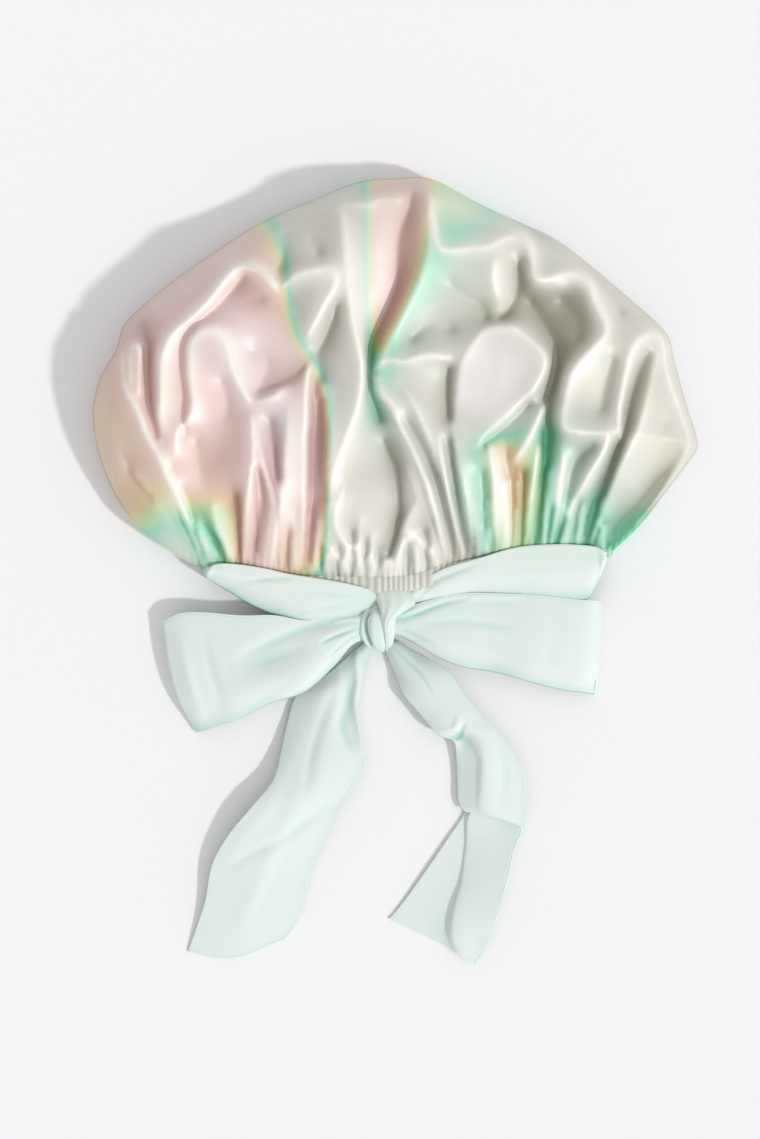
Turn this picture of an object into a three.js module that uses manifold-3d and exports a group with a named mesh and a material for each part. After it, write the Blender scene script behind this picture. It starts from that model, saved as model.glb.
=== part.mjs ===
// A satin hair bonnet with a tied sash, laid on a table with its front up.
//
// Units are millimetres. +Z is up from the table, +Y runs from the mouth to the top of the crown, and
// +X is to the right as the bow is seen from above. While it is built, the middle of the hem is at
// x = 0, y = 0 and the table is z = 0. The finished group is then centred on its own bounding box.
//
// The crown is one gathered circle of satin. It is drawn here as a front and a back wall that part at
// the fold, because the front lifts away from the back when the mouth is opened over the hair.

import * as THREE from "three";
import { mergeVertices } from "three/addons/utils/BufferGeometryUtils.js";
import Module from "manifold-3d";

const wasm = await Module();
wasm.setup();

// Crown
const CROWN_WIDTH = 360;
const CROWN_LENGTH = 242; // from the hem line to the fold at the top
const CROWN_HEIGHT = 53.5; // as it puffs up from the table
const CROWN_FRONT_ROUND = 52; // how far in from the fold the front takes to level off
const CROWN_BACK_ROUND = 24; // the same, for the wall that lies on the table
const CROWN_SHOULDER = 66; // how far from the hem the gathers take to reach full height
const SATIN = 1.2; // wall of the crown

// Mouth, with its casing and elastic
const MOUTH_WIDTH = 244;
const MOUTH_OFFSET = 7.5; // the mouth's middle lies this far right of the crown's middle
const MOUTH_GAP = 10; // clear height between the front and back casing
const HEM_RISE = 17; // how much higher the right end of the hem lies than its middle
const ELASTIC_WIDTH = 8;
const ELASTIC_THICK = 1.8;
const CASING_WALL = 1;
const THREAD = 0.8; // diameter of the sewing thread's raised line

// Sash
const SASH_CLOTH = 1.6; // two layers of crepe
const SASH_BACK_WIDTH = 22; // folded, under the back of the hem
const SASH_EDGE = 1; // diameter of the overlocked edge
const SIDE_REACH = 40; // how far from the sides the folded sash takes to spread
const BACK_SEAM_LENGTH = 120; // the stitches that hold the sash to the back of the hem

// Knot, loops and tails
const KNOT_WIDTH = 19;
const KNOT_LENGTH = 35;
const KNOT_HEIGHT = 22;
const KNOT_WALL = 3.2;
const KNOT_OFFSET = -7.8; // the knot's middle lies this far right of the hem's middle
const CORE_PROUD = 1.5; // how far the gathered core stands out of each side of the knot
const LOOP_TOP_DROP = 14; // from the knot's top end down to the upper edges of the loops
const LOOP_NECK = 17;
const LOOP_NECK_RADIUS = 4;
const LOOP_PUFF = 22;
const LEFT_LOOP_REACH = 110;
const RIGHT_LOOP_REACH = 115;
const LOOP_DROP = 70; // width of the left loop's open end
const TAIL_ROOT_RADIUS = 4.5;
const TAIL_ROOT_HEIGHT = 6;
const TAIL_SPACING = 10; // between the two tails where they leave the knot
const TAIL_LENGTH = 181;
const TAIL_LIFT = 11; // how far the tails arch off the table

// Clearances
const CLEAR = 0.3; // between pieces that touch
const ROOM = 1.2; // between pieces that only pass each other

// Sizes that follow from those above
const casingThick = ELASTIC_THICK + 2 * CLEAR + 2 * CASING_WALL;
const casingWidth = ELASTIC_WIDTH + 2 * CLEAR + 2 * CASING_WALL;
const backZ = SASH_CLOTH + CLEAR + casingThick / 2;
const frontZ = backZ + MOUTH_GAP + casingThick;
const partZ = (backZ + frontZ) / 2; // the level at which front and back part
const sideRadius = (frontZ - backZ) / 2;
const crownHalf = CROWN_WIDTH / 2;
const mouthHalf = MOUTH_WIDTH / 2;
const sashOffset = casingThick / 2 + CLEAR + SASH_CLOTH / 2;
const knotY = -casingWidth / 2 - CLEAR - KNOT_LENGTH / 2;
const knotZ = KNOT_HEIGHT / 2;
const coreHalf = KNOT_WIDTH / 2 + CORE_PROUD;
const coreLength = KNOT_LENGTH - 2 * KNOT_WALL - 2 * CLEAR;
const coreHeight = KNOT_HEIGHT - 2 * KNOT_WALL - 2 * CLEAR;
const bandFall = (frontZ - knotZ) / KNOT_LENGTH; // how steeply a band slopes down past the hem
const loopTopAtKnot = knotY + KNOT_LENGTH / 2 - LOOP_TOP_DROP;
const loopLayerGap = LOOP_NECK_RADIUS / 3; // from the neck's middle to each of the loop's two layers
const tailRootY = knotY - KNOT_LENGTH / 2 - CLEAR - TAIL_ROOT_RADIUS;

// How finely each piece is divided
const CROWN_FRONT_COLUMNS = 40;
const CROWN_FRONT_ROWS = 14;
const CROWN_BACK_COLUMNS = 30;
const CROWN_BACK_ROWS = 8;
const HEM_STEPS = 21;
const SIDE_STEPS = 4;
const RIBBON_STEPS = 14;
const LOOP_STEPS = 10;
const LOOP_END_STEPS = 4;
const TAIL_STEPS = 18;
const RIBBON_COLUMNS = 5;
const THREAD_SIDES = 5;
const OVAL_SIDES = 20;
const CASING_SIDES = 8;

// Shapes, as shares of the sizes above. Each outline has only the points that its shape needs.

// The hem line: across, of half the mouth's width, and up, of HEM_RISE
const hemShares = [
  [-1, 0.3],
  [-0.84, 0.38],
  [-0.66, 0.14],
  [-0.5, 0.04],
  [-0.25, 0],
  [-0.05, 0],
  [0.08, 0.16],
  [0.2, 0.44],
  [0.35, 0.68],
  [0.55, 0.91],
  [0.75, 1],
  [1, 1],
];

// The crown's outline over the top, from its widest point on the left to the widest on the right:
// across, of half the crown's width, and up, of its length.
const outlineShares = [
  [-1, 0.413],
  [-0.977, 0.505],
  [-0.923, 0.577],
  [-0.86, 0.668],
  [-0.653, 0.79],
  [-0.453, 0.886],
  [-0.28, 0.943],
  [-0.12, 0.985],
  [0.02, 1],
  [0.127, 0.995],
  [0.287, 0.936],
  [0.433, 0.886],
  [0.623, 0.802],
  [0.767, 0.713],
  [0.9, 0.621],
  [0.93, 0.55],
  [0.967, 0.45],
  [1, 0.356],
];
const CORNER_STEP_SHARE = 0.035; // from a hem corner to the outline, of half the crown's width

// The rest of the outline, from a corner of the hem out to the widest point: across, then up, both of
// the way between those two.
const leftSideShares = [
  [0.24, 0.04],
  [0.614, 0.255],
  [0.9, 0.63],
];
const rightSideShares = [
  [0.24, 0.1],
  [0.553, 0.4],
  [0.919, 0.77],
];

// The main folds: a line across the crown, and how high it stands (or how deep it lies, if negative)
// of CROWN_HEIGHT, and how wide it is of the crown's half width.
const foldShares = [
  {
    rise: -0.3,
    spread: 0.06,
    line: [[0.06, 0.93], [0.01, 0.85], [-0.01, 0.72], [-0.06, 0.62]],
  },
  {
    rise: -0.2,
    spread: 0.05,
    line: [[-0.06, 0.62], [-0.08, 0.52], [-0.06, 0.38], [0, 0.25], [-0.01, 0.06]],
  },
  {
    rise: 0.12,
    spread: 0.05,
    line: [[0.12, 0.94], [0.12, 0.84], [0.09, 0.75], [0.03, 0.65], [-0.04, 0.55]],
  },
  {
    rise: 0.18,
    spread: 0.05,
    line: [[-0.18, 0.92], [-0.15, 0.74], [-0.11, 0.57], [-0.12, 0.43], [-0.2, 0.27]],
  },
  {
    rise: -0.12,
    spread: 0.045,
    line: [[-0.23, 0.88], [-0.19, 0.6], [-0.22, 0.4], [-0.25, 0.06]],
  },
  {
    rise: 0.1,
    spread: 0.045,
    line: [[-0.06, 0.49], [0.04, 0.35], [0.13, 0.21], [0.17, 0.05]],
  },
  {
    rise: -0.12,
    spread: 0.04,
    line: [[0.15, 0.52], [0.16, 0.38], [0.2, 0.24]],
  },
  {
    rise: 0.18,
    spread: 0.04,
    line: [[-0.76, 0.34], [-0.76, 0.54], [-0.71, 0.61], [-0.62, 0.66], [-0.52, 0.76]],
  },
  {
    rise: 0.18,
    spread: 0.045,
    line: [[-0.62, 0.66], [-0.52, 0.76], [-0.45, 0.76], [-0.38, 0.71]],
  },
  {
    rise: 0.12,
    spread: 0.04,
    line: [[-0.71, 0.31], [-0.67, 0.42], [-0.67, 0.57], [-0.59, 0.62], [-0.53, 0.57], [-0.47, 0.44]],
  },
  {
    rise: 0.12,
    spread: 0.045,
    line: [[-0.89, 0.54], [-0.83, 0.42], [-0.73, 0.24], [-0.64, 0.08]],
  },
  {
    rise: -0.12,
    spread: 0.04,
    line: [[-0.83, 0.64], [-0.81, 0.49], [-0.77, 0.36]],
  },
  {
    rise: 0.16,
    spread: 0.05,
    line: [[-0.36, 0.72], [-0.28, 0.74], [-0.2, 0.74], [-0.28, 0.6]],
  },
  {
    rise: 0.1,
    spread: 0.045,
    line: [[-0.46, 0.41], [-0.47, 0.26], [-0.5, 0.05]],
  },
  {
    rise: 0.14,
    spread: 0.05,
    line: [[0.13, 0.87], [0.16, 0.8], [0.3, 0.81], [0.39, 0.85], [0.46, 0.73], [0.59, 0.76], [0.64, 0.72]],
  },
  {
    rise: 0.16,
    spread: 0.05,
    line: [[0.64, 0.72], [0.69, 0.62], [0.57, 0.5], [0.54, 0.39], [0.68, 0.37], [0.63, 0.26], [0.57, 0.14]],
  },
  {
    rise: 0.12,
    spread: 0.05,
    line: [[0.2, 0.39], [0.21, 0.52], [0.31, 0.62], [0.41, 0.6], [0.49, 0.54], [0.37, 0.41], [0.26, 0.33]],
  },
  {
    rise: -0.16,
    spread: 0.06,
    line: [[0.28, 0.68], [0.39, 0.71], [0.5, 0.62], [0.51, 0.48], [0.49, 0.37], [0.48, 0.11]],
  },
  {
    rise: 0.12,
    spread: 0.045,
    line: [[0.88, 0.6], [0.81, 0.6], [0.75, 0.52], [0.73, 0.36]],
  },
  {
    rise: -0.15,
    spread: 0.045,
    line: [[0.8, 0.53], [0.76, 0.44], [0.71, 0.29], [0.63, 0.1]],
  },
  {
    rise: 0.1,
    spread: 0.045,
    line: [[0.88, 0.59], [0.91, 0.47], [0.97, 0.35], [0.91, 0.25], [0.83, 0.18]],
  },
];

// The gathers along the hem: where each stands on the hem, of half the mouth's width, where it fades
// out on the crown, of half the crown's width, its height, of CROWN_HEIGHT, and reach, of CROWN_LENGTH.
const gatherShares = [
  [-0.947, -0.84, 0.08, 0.34],
  [-0.83, -0.7, 0.07, 0.32],
  [-0.69, -0.55, 0.06, 0.3],
  [-0.56, -0.4, 0.1, 0.4],
  [-0.447, -0.3, 0.1, 0.36],
  [-0.266, -0.18, 0.08, 0.3],
  [-0.15, -0.1, 0.1, 0.34],
  [0.01, 0.02, 0.08, 0.3],
  [0.127, 0.06, 0.06, 0.34],
  [0.266, 0.16, 0.06, 0.34],
  [0.414, 0.3, 0.07, 0.36],
  [0.545, 0.42, 0.08, 0.34],
  [0.676, 0.52, 0.1, 0.34],
  [0.807, 0.66, 0.07, 0.36],
  [0.93, 0.82, 0.1, 0.36],
];
const GATHER_SPREAD_SHARE = 0.035; // width of one gather, of half the crown's width
const ROW_EASE_SHARE = 0.9; // how much closer the crown's rows lie at its edges than in its middle

// The sash bands over the front of the hem, from the side to the knot: the top edge's height above the
// hem line, of the casing's width, and how far the bottom edge comes down from the casing to the loop.
const leftBandShares = [
  [0.37, 0.2],
  [0.37, 0.5],
  [0.37, 0.88],
  [0, 0.95],
  [-0.79, 0.97],
];
const rightBandShares = [
  [0.37, 0.9],
  [0.37, 0.98],
  [0.37, 0.97],
  [0, 0.6],
  [-0.79, 0.97],
];

// The knot's girth from end to end, of its length and height
const knotSwellShares = [0.9, 0.98, 1, 0.98, 0.9];

// The loops, from the knot to the open end: how far out the upper and lower edges are, of the loop's
// reach, and how far each lies below the neck's top, of LOOP_DROP; then the heights of the upper and
// lower layers, of LOOP_PUFF.
const leftLoopShares = [
  [0, 0, 0, 0.243, 0.57, 0.43],
  [0.14, 0.007, 0.15, 0.32, 0.74, 0.44],
  [0.35, 0, 0.34, 0.52, 0.9, 0.42],
  [0.59, 0, 0.52, 0.68, 0.92, 0.34],
  [0.82, 0, 0.7, 0.84, 0.84, 0.22],
  [1, 0.01, 0.855, 0.98, 0.68, 0.09],
];
const rightLoopShares = [
  [0, 0, 0, 0.243, 0.57, 0.43],
  [0.19, -0.06, 0.16, 0.335, 0.74, 0.44],
  [0.38, -0.12, 0.365, 0.46, 0.88, 0.42],
  [0.59, -0.16, 0.57, 0.55, 0.9, 0.34],
  [0.8, -0.17, 0.78, 0.61, 0.8, 0.22],
  [1, -0.14, 0.965, 0.66, 0.66, 0.09],
];

// The tails, from the knot to the cut end: the left edge and the right edge, across and down, and the
// height of each edge. Across and down are of TAIL_LENGTH from the root, the heights of TAIL_LIFT.
const leftTailShares = [
  [-0.025, 0, 0.025, 0, 1, 1],
  [-0.116, 0.022, -0.006, 0.034, 0.45, 0.5],
  [-0.232, 0.1, -0.017, 0.122, 0.32, 0.25],
  [-0.282, 0.177, -0.022, 0.2, 0.45, 0.16],
  [-0.287, 0.3, -0.022, 0.3, 0.9, 0.12],
  [-0.354, 0.43, -0.055, 0.354, 1, 0.12],
  [-0.475, 0.564, -0.138, 0.442, 0.9, 0.12],
  [-0.541, 0.697, -0.171, 0.564, 0.7, 0.12],
  [-0.569, 0.83, -0.21, 0.697, 0.4, 0.12],
  [-0.619, 0.961, -0.26, 0.893, 0.1, 0.1],
];
const rightTailShares = [
  [-0.025, 0, 0.025, 0, 1, 1],
  [-0.006, 0.03, 0.083, 0.03, 0.5, 0.6],
  [0.028, 0.1, 0.193, 0.06, 0.3, 0.5],
  [0.11, 0.205, 0.293, 0.133, 0.45, 0.4],
  [0.177, 0.249, 0.392, 0.266, 0.8, 0.3],
  [0.21, 0.365, 0.442, 0.398, 0.9, 0.2],
  [0.215, 0.476, 0.442, 0.531, 0.8, 0.14],
  [0.144, 0.63, 0.403, 0.658, 0.5, 0.12],
  [0.066, 0.741, 0.365, 0.796, 0.3, 0.12],
  [-0.006, 0.846, 0.276, 1, 0.1, 0.1],
];

// Small helpers

const clamp01 = (value) => Math.min(1, Math.max(0, value));
const mix = (a, b, t) => a + (b - a) * t;
const smooth = (t) => clamp01(t) ** 2 * (3 - 2 * clamp01(t));
const vector = (x, y, z) => new THREE.Vector3(x, y, z);

// Reads column `column` of a table whose first column rises, at `at`, on a smooth curve.
function read(table, at, column) {
  const last = table.length - 1;
  let i = 0;
  while (i < last - 1 && table[i + 1][0] < at) i += 1;
  const [before, from, to, after] = [table[Math.max(i - 1, 0)], table[i], table[i + 1], table[Math.min(i + 2, last)]];
  const t = clamp01((at - from[0]) / (to[0] - from[0]));
  const slope = (a, b) => ((b[column] - a[column]) / Math.max(b[0] - a[0], Number.EPSILON)) * (to[0] - from[0]);
  const [p, q, m, n] = [from[column], to[column], slope(before, to), slope(from, after)];
  const [t2, t3] = [t * t, t * t * t];
  return p * (2 * t3 - 3 * t2 + 1) + m * (t3 - 2 * t2 + t) + q * (3 * t2 - 2 * t3) + n * (t3 - t2);
}

// Puts an even first column, from 0 to 1, in front of a table's rows.
const numbered = (table) => table.map((row, i) => [i / (table.length - 1), ...row]);

// A solid from two grids of points that face each other, closed round their border.
function shellSolid(outer, inner) {
  const rows = outer.length;
  const columns = outer[0].length;
  const points = [...outer.flat(), ...inner.flat()];
  const at = (layer, i, j) => layer * rows * columns + i * columns + j;
  const index = [];
  const quad = (a, b, c, d) => index.push(a, b, c, a, c, d);
  for (let i = 0; i < rows - 1; i += 1) {
    for (let j = 0; j < columns - 1; j += 1) {
      quad(at(0, i, j), at(0, i + 1, j), at(0, i + 1, j + 1), at(0, i, j + 1));
      index.push(at(1, i, j), at(1, i + 1, j + 1), at(1, i + 1, j));
      index.push(at(1, i, j), at(1, i, j + 1), at(1, i + 1, j + 1));
    }
  }
  for (let i = 0; i < rows - 1; i += 1) {
    quad(at(0, i, 0), at(1, i, 0), at(1, i + 1, 0), at(0, i + 1, 0));
    quad(at(0, i + 1, columns - 1), at(1, i + 1, columns - 1), at(1, i, columns - 1), at(0, i, columns - 1));
  }
  for (let j = 0; j < columns - 1; j += 1) {
    quad(at(0, 0, j + 1), at(1, 0, j + 1), at(1, 0, j), at(0, 0, j));
    quad(at(0, rows - 1, j), at(1, rows - 1, j), at(1, rows - 1, j + 1), at(0, rows - 1, j + 1));
  }
  return facingOut(points, index);
}

// A solid through a row of rings, with flat ends, or joined end to end when `closed`.
function loftSolid(rings, closed = false) {
  const sides = rings[0].length;
  const points = rings.flat();
  const index = [];
  const spans = closed ? rings.length : rings.length - 1;
  for (let i = 0; i < spans; i += 1) {
    const [from, to] = [i * sides, ((i + 1) % rings.length) * sides];
    for (let j = 0; j < sides; j += 1) {
      const next = (j + 1) % sides;
      index.push(from + j, to + j, to + next, from + j, to + next, from + next);
    }
  }
  if (!closed) {
    for (let j = 1; j < sides - 1; j += 1) {
      index.push(0, j, j + 1);
      const end = (rings.length - 1) * sides;
      index.push(end, end + j + 1, end + j);
    }
  }
  return facingOut(points, index);
}

// A pipe with open ends: one row of rings inside another.
function pipeSolid(outerRings, innerRings) {
  const sides = outerRings[0].length;
  const count = outerRings.length;
  const points = [...outerRings.flat(), ...innerRings.flat()];
  const index = [];
  const at = (layer, i, j) => layer * count * sides + i * sides + (j % sides);
  for (let i = 0; i < count - 1; i += 1) {
    for (let j = 0; j < sides; j += 1) {
      index.push(at(0, i, j), at(0, i + 1, j), at(0, i + 1, j + 1), at(0, i, j), at(0, i + 1, j + 1), at(0, i, j + 1));
      index.push(at(1, i, j), at(1, i + 1, j + 1), at(1, i + 1, j), at(1, i, j), at(1, i, j + 1), at(1, i + 1, j + 1));
    }
  }
  for (let j = 0; j < sides; j += 1) {
    index.push(at(0, 0, j), at(0, 0, j + 1), at(1, 0, j + 1), at(0, 0, j), at(1, 0, j + 1), at(1, 0, j));
    const end = count - 1;
    index.push(at(0, end, j), at(1, end, j + 1), at(0, end, j + 1), at(0, end, j), at(1, end, j), at(1, end, j + 1));
  }
  return facingOut(points, index);
}

// A geometry from points and triangles, turned so that its faces point out.
function facingOut(points, index) {
  let volume = 0;
  for (let i = 0; i < index.length; i += 3) {
    const [a, b, c] = [points[index[i]], points[index[i + 1]], points[index[i + 2]]];
    volume += a.dot(b.clone().cross(c));
  }
  const faces = volume < 0 ? index.toReversed() : index;
  return new THREE.BufferGeometry().setFromPoints(points).setIndex(faces);
}

// Joins closed geometries into one.
function join(...geometries) {
  const solids = geometries.map((geometry) => {
    const bare = geometry.clone();
    bare.deleteAttribute("normal");
    bare.deleteAttribute("uv");
    const merged = mergeVertices(bare);
    return new wasm.Manifold(
      new wasm.Mesh({
        numProp: 3,
        vertProperties: new Float32Array(merged.attributes.position.array),
        triVerts: new Uint32Array(merged.index.array),
      }),
    );
  });
  const made = solids.reduce((whole, solid) => whole.add(solid)).getMesh();
  return new THREE.BufferGeometry()
    .setAttribute("position", new THREE.BufferAttribute(made.vertProperties, 3))
    .setIndex(new THREE.BufferAttribute(made.triVerts, 1));
}

// The directions square to a grid of points, at each of them.
function gridNormals(grid) {
  const last = [grid.length - 1, grid[0].length - 1];
  return grid.map((row, i) =>
    row.map((_, j) => {
      const along = grid[Math.min(i + 1, last[0])][j].clone().sub(grid[Math.max(i - 1, 0)][j]);
      const across = grid[i][Math.min(j + 1, last[1])].clone().sub(grid[i][Math.max(j - 1, 0)]);
      return along.cross(across).normalize();
    }),
  );
}

// A sheet of cloth: half its thickness to each side of a grid of points.
function sheetSolid(grid, thickness) {
  const normals = gridNormals(grid);
  const moved = (distance) =>
    grid.map((row, i) => row.map((point, j) => point.clone().addScaledVector(normals[i][j], distance)));
  return shellSolid(moved(thickness / 2), moved(-thickness / 2));
}

// A round thread along points, whose section turns with them and doesn't twist.
function threadSolid(points, diameter) {
  const side = vector(0, 0, 1);
  const rings = points.map((point, i) => {
    const along = points[Math.min(i + 1, points.length - 1)].clone().sub(points[Math.max(i - 1, 0)]).normalize();
    side.addScaledVector(along, -side.dot(along)).normalize();
    const up = side.clone().cross(along);
    return Array.from({ length: THREAD_SIDES }, (_, k) => {
      const angle = (k / THREAD_SIDES) * 2 * Math.PI;
      return point
        .clone()
        .addScaledVector(side, (Math.cos(angle) * diameter) / 2)
        .addScaledVector(up, (Math.sin(angle) * diameter) / 2);
    });
  });
  return loftSolid(rings);
}

// The two sides of the bow
const sign = { left: -1, right: 1 };
const bands = { left: numbered(leftBandShares), right: numbered(rightBandShares) };
const loops = {
  left: { reach: LEFT_LOOP_REACH, table: numbered(leftLoopShares) },
  right: { reach: RIGHT_LOOP_REACH, table: numbered(rightLoopShares) },
};

// The hem line, and the flattened ring that the casing, elastic and sash follow round the mouth

const hemY = (x) => read(hemShares, Math.min(1, Math.max(-1, (x - MOUTH_OFFSET) / mouthHalf)), 1) * HEM_RISE;

// Places along half of the ring, from its left side to its right, `offset` outside its middle line.
// `up` is 1 for the front half and -1 for the back half. Each has the direction that points out.
function ringPlaces(offset, up, gap = CLEAR / 2) {
  const reach = mouthHalf - sideRadius;
  const radius = sideRadius + offset;
  const places = [];
  const turn = (centre, from, to) => {
    for (let i = 0; i <= SIDE_STEPS; i += 1) {
      const angle = mix(from, to, i / SIDE_STEPS);
      const [nx, nz] = [Math.cos(angle), up * Math.sin(angle)];
      const atPart = i === (centre < 0 ? 0 : SIDE_STEPS);
      const z = partZ + radius * nz + (atPart ? up * gap : 0);
      places.push({ x: MOUTH_OFFSET + centre + radius * nx, z, nx, nz });
    }
  };
  turn(-reach, Math.PI, Math.PI / 2);
  for (let i = 1; i < HEM_STEPS; i += 1) {
    const x = mix(-reach, reach, i / HEM_STEPS);
    places.push({ x: MOUTH_OFFSET + x, z: partZ + up * radius, nx: 0, nz: up });
  }
  turn(reach, Math.PI / 2, 0);
  return places;
}

// An oval section, `width` along the bonnet and `thick` square to the ring, at each place.
function ovalRings(places, width, thick) {
  return places.map(({ x, z, nx, nz }) =>
    Array.from({ length: CASING_SIDES }, (_, k) => {
      const angle = ((k + 0.5) / CASING_SIDES) * 2 * Math.PI;
      const corner = 1 / Math.cos(Math.PI / CASING_SIDES);
      const out = (clampTo(Math.sin(angle) * corner, 1) * thick) / 2;
      const along = (clampTo(Math.cos(angle) * corner, 1) * width) / 2;
      return vector(x + out * nx, hemY(x) + along, z + out * nz);
    }),
  );
}

const clampTo = (value, limit) => Math.min(limit, Math.max(-limit, value));

// Crown

const crownHemY = (x) => hemY(x) + casingWidth / 2 + CLEAR;

// The crown's outline on the table, as a smooth curve from the left end of the hem to the right.
function crownOutline() {
  const corner = (side) => {
    const x = MOUTH_OFFSET + side * mouthHalf;
    const step = CORNER_STEP_SHARE * crownHalf;
    return vector(x + side * step, crownHemY(x) + step, 0);
  };
  const over = outlineShares.map(([across, up]) => vector(across * crownHalf, up * CROWN_LENGTH, 0));
  const up = (from, to, shares) => shares.map(([x, y]) => vector(mix(from.x, to.x, x), mix(from.y, to.y, y), 0));
  const left = up(corner(-1), over[0], leftSideShares);
  const right = up(corner(1), over.at(-1), rightSideShares).toReversed();
  return new THREE.CatmullRomCurve3([corner(-1), ...left, ...over, ...right, corner(1)], false, "centripetal");
}

const outline = crownOutline();
const outlinePoints = outline.getSpacedPoints(CROWN_FRONT_COLUMNS * 4);

// How far a point is from a line through points, and how far along it the nearest place is, 0 to 1.
function nearest(x, y, line) {
  let best = { distance: Infinity, along: 0 };
  for (let i = 0; i < line.length - 1; i += 1) {
    const [ax, ay, bx, by] = [line[i].x, line[i].y, line[i + 1].x, line[i + 1].y];
    const length2 = (bx - ax) ** 2 + (by - ay) ** 2;
    const t = clamp01(((x - ax) * (bx - ax) + (y - ay) * (by - ay)) / length2);
    const distance = Math.hypot(x - mix(ax, bx, t), y - mix(ay, by, t));
    if (distance < best.distance) best = { distance, along: (i + t) / (line.length - 1) };
  }
  return best;
}

const folds = foldShares.map(({ line, rise, spread }) => ({
  line: line.map(([across, up]) => vector(across * crownHalf, up * CROWN_LENGTH, 0)),
  rise: rise * CROWN_HEIGHT,
  spread: spread * crownHalf,
}));

const gathers = gatherShares.map(([atHem, atTop, rise, reach]) => {
  const x = MOUTH_OFFSET + atHem * mouthHalf;
  const line = [vector(x, crownHemY(x), 0), vector(atTop * crownHalf, crownHemY(x) + reach * CROWN_LENGTH, 0)];
  return { line, rise: rise * CROWN_HEIGHT, spread: GATHER_SPREAD_SHARE * crownHalf };
});

// How far the folds and gathers lift or sink the front at a point.
function foldRise(x, y) {
  const rises = folds.map(({ line, rise, spread }) => {
    const { distance, along } = nearest(x, y, line);
    const ends = smooth(4 * along) * smooth(4 * (1 - along));
    return rise * (rise < 0 ? 1 : ends) * Math.exp(-((distance / spread) ** 2));
  });
  const pleats = gathers.map(({ line, rise, spread }) => {
    const { distance, along } = nearest(x, y, line);
    return rise * (1 - smooth(along)) * Math.exp(-((distance / spread) ** 2));
  });
  return [...rises, ...pleats].reduce((sum, value) => sum + value, 0);
}

// The outside of a wall of the crown, as rows from the hem to the fold. `height` gives its level.
function crownGrid(columns, rows, up, height) {
  const places = hemPlaces(columns, up, (up * SATIN) / 2);
  return Array.from({ length: rows + 1 }, (_, i) =>
    places.map((place, j) => {
      const share = mix(i / rows, smooth(i / rows), ROW_EASE_SHARE);
      const rim = outline.getPointAt(j / columns);
      const x = mix(place.x, rim.x, share);
      const y = mix(crownHemY(place.x), rim.y, share);
      const onRim = i === rows || j === 0 || j === columns;
      return vector(x, y, onRim ? partZ + (up * CLEAR) / 2 : height(x, y, place.z, share));
    }),
  );
}

// Evenly spaced places on the crown's edge at the hem.
function hemPlaces(columns, up, offset) {
  const ring = ringPlaces(Math.abs(offset), up).map(({ x, z }) => vector(x, 0, z));
  const curve = new THREE.CatmullRomCurve3(ring, false, "centripetal");
  return Array.from({ length: columns + 1 }, (_, j) => curve.getPointAt(j / columns));
}

function frontHeight(x, y, hemZ, share) {
  const edge = nearest(x, y, outlinePoints).distance;
  const fromHem = y - crownHemY(x);
  const round = Math.sqrt(1 - (1 - clamp01(edge / CROWN_FRONT_ROUND)) ** 2);
  const full = partZ + (CROWN_HEIGHT - partZ) * round;
  const shoulder = 1 - (1 - clamp01(fromHem / CROWN_SHOULDER)) ** 2;
  const inside = smooth(fromHem / casingWidth) * smooth((2 * edge) / CROWN_FRONT_ROUND);
  const level = mix(hemZ, Math.max(full, hemZ), share === 0 ? 0 : shoulder);
  return Math.max(level + foldRise(x, y) * inside, mix(hemZ, level, 0.5));
}

function backHeight(x, y, hemZ, share) {
  const edge = nearest(x, y, outlinePoints).distance;
  const fromHem = y - crownHemY(x);
  const round = Math.sqrt(1 - (1 - clamp01(edge / CROWN_BACK_ROUND)) ** 2);
  const full = partZ * (1 - round);
  const pastSash = smooth((fromHem - SASH_BACK_WIDTH) / SASH_BACK_WIDTH);
  return share === 0 ? hemZ : Math.max(full, mix(hemZ, 0, pastSash));
}

// The wall between the outside grid and the same grid moved in by the satin's thickness.
function crownWall(outer, up) {
  const normals = gridNormals(outer);
  const lastRow = outer.length - 1;
  const lastColumn = outer[0].length - 1;
  const centre = vector(0, CROWN_LENGTH / 2, 0);
  const inner = outer.map((row, i) =>
    row.map((point, j) => {
      const normal = normals[i][j].clone();
      if (normal.z * up < 0) normal.negate();
      if (i === lastRow || j === 0 || j === lastColumn) {
        normal.copy(point).sub(centre).setZ(0).normalize();
      }
      if (i === 0) {
        normal.setY(0).normalize();
      }
      return point.clone().addScaledVector(normal, -SATIN);
    }),
  );
  return shellSolid(outer, inner);
}

// Pieces round the mouth

function casing(up) {
  const places = ringPlaces(0, up);
  const outer = ovalRings(places, casingWidth, casingThick);
  const inner = ovalRings(places, casingWidth - 2 * CASING_WALL, casingThick - 2 * CASING_WALL);
  return pipeSolid(outer, inner);
}

function elastic() {
  const front = ringPlaces(0, 1, 0);
  const back = ringPlaces(0, -1, 0).toReversed().slice(1, -1);
  return loftSolid(ovalRings([...front, ...back], ELASTIC_WIDTH, ELASTIC_THICK), true);
}

// The line of stitches in the crease between the casing and the crown.
function casingSeam(up) {
  const shoulder = (casingThick / 2) * Math.tan(Math.PI / CASING_SIDES);
  const slope = Math.atan2(casingThick, casingWidth);
  const offset = Math.max(shoulder + (CLEAR + THREAD / 2) / Math.cos(slope), (SATIN + THREAD) / 2 + CLEAR);
  const places = ringPlaces(offset, up).slice(SIDE_STEPS, -SIDE_STEPS);
  const points = places.map(({ x, z }) => vector(x, hemY(x) + casingWidth / 2, z));
  return threadSolid(points, THREAD);
}

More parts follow.
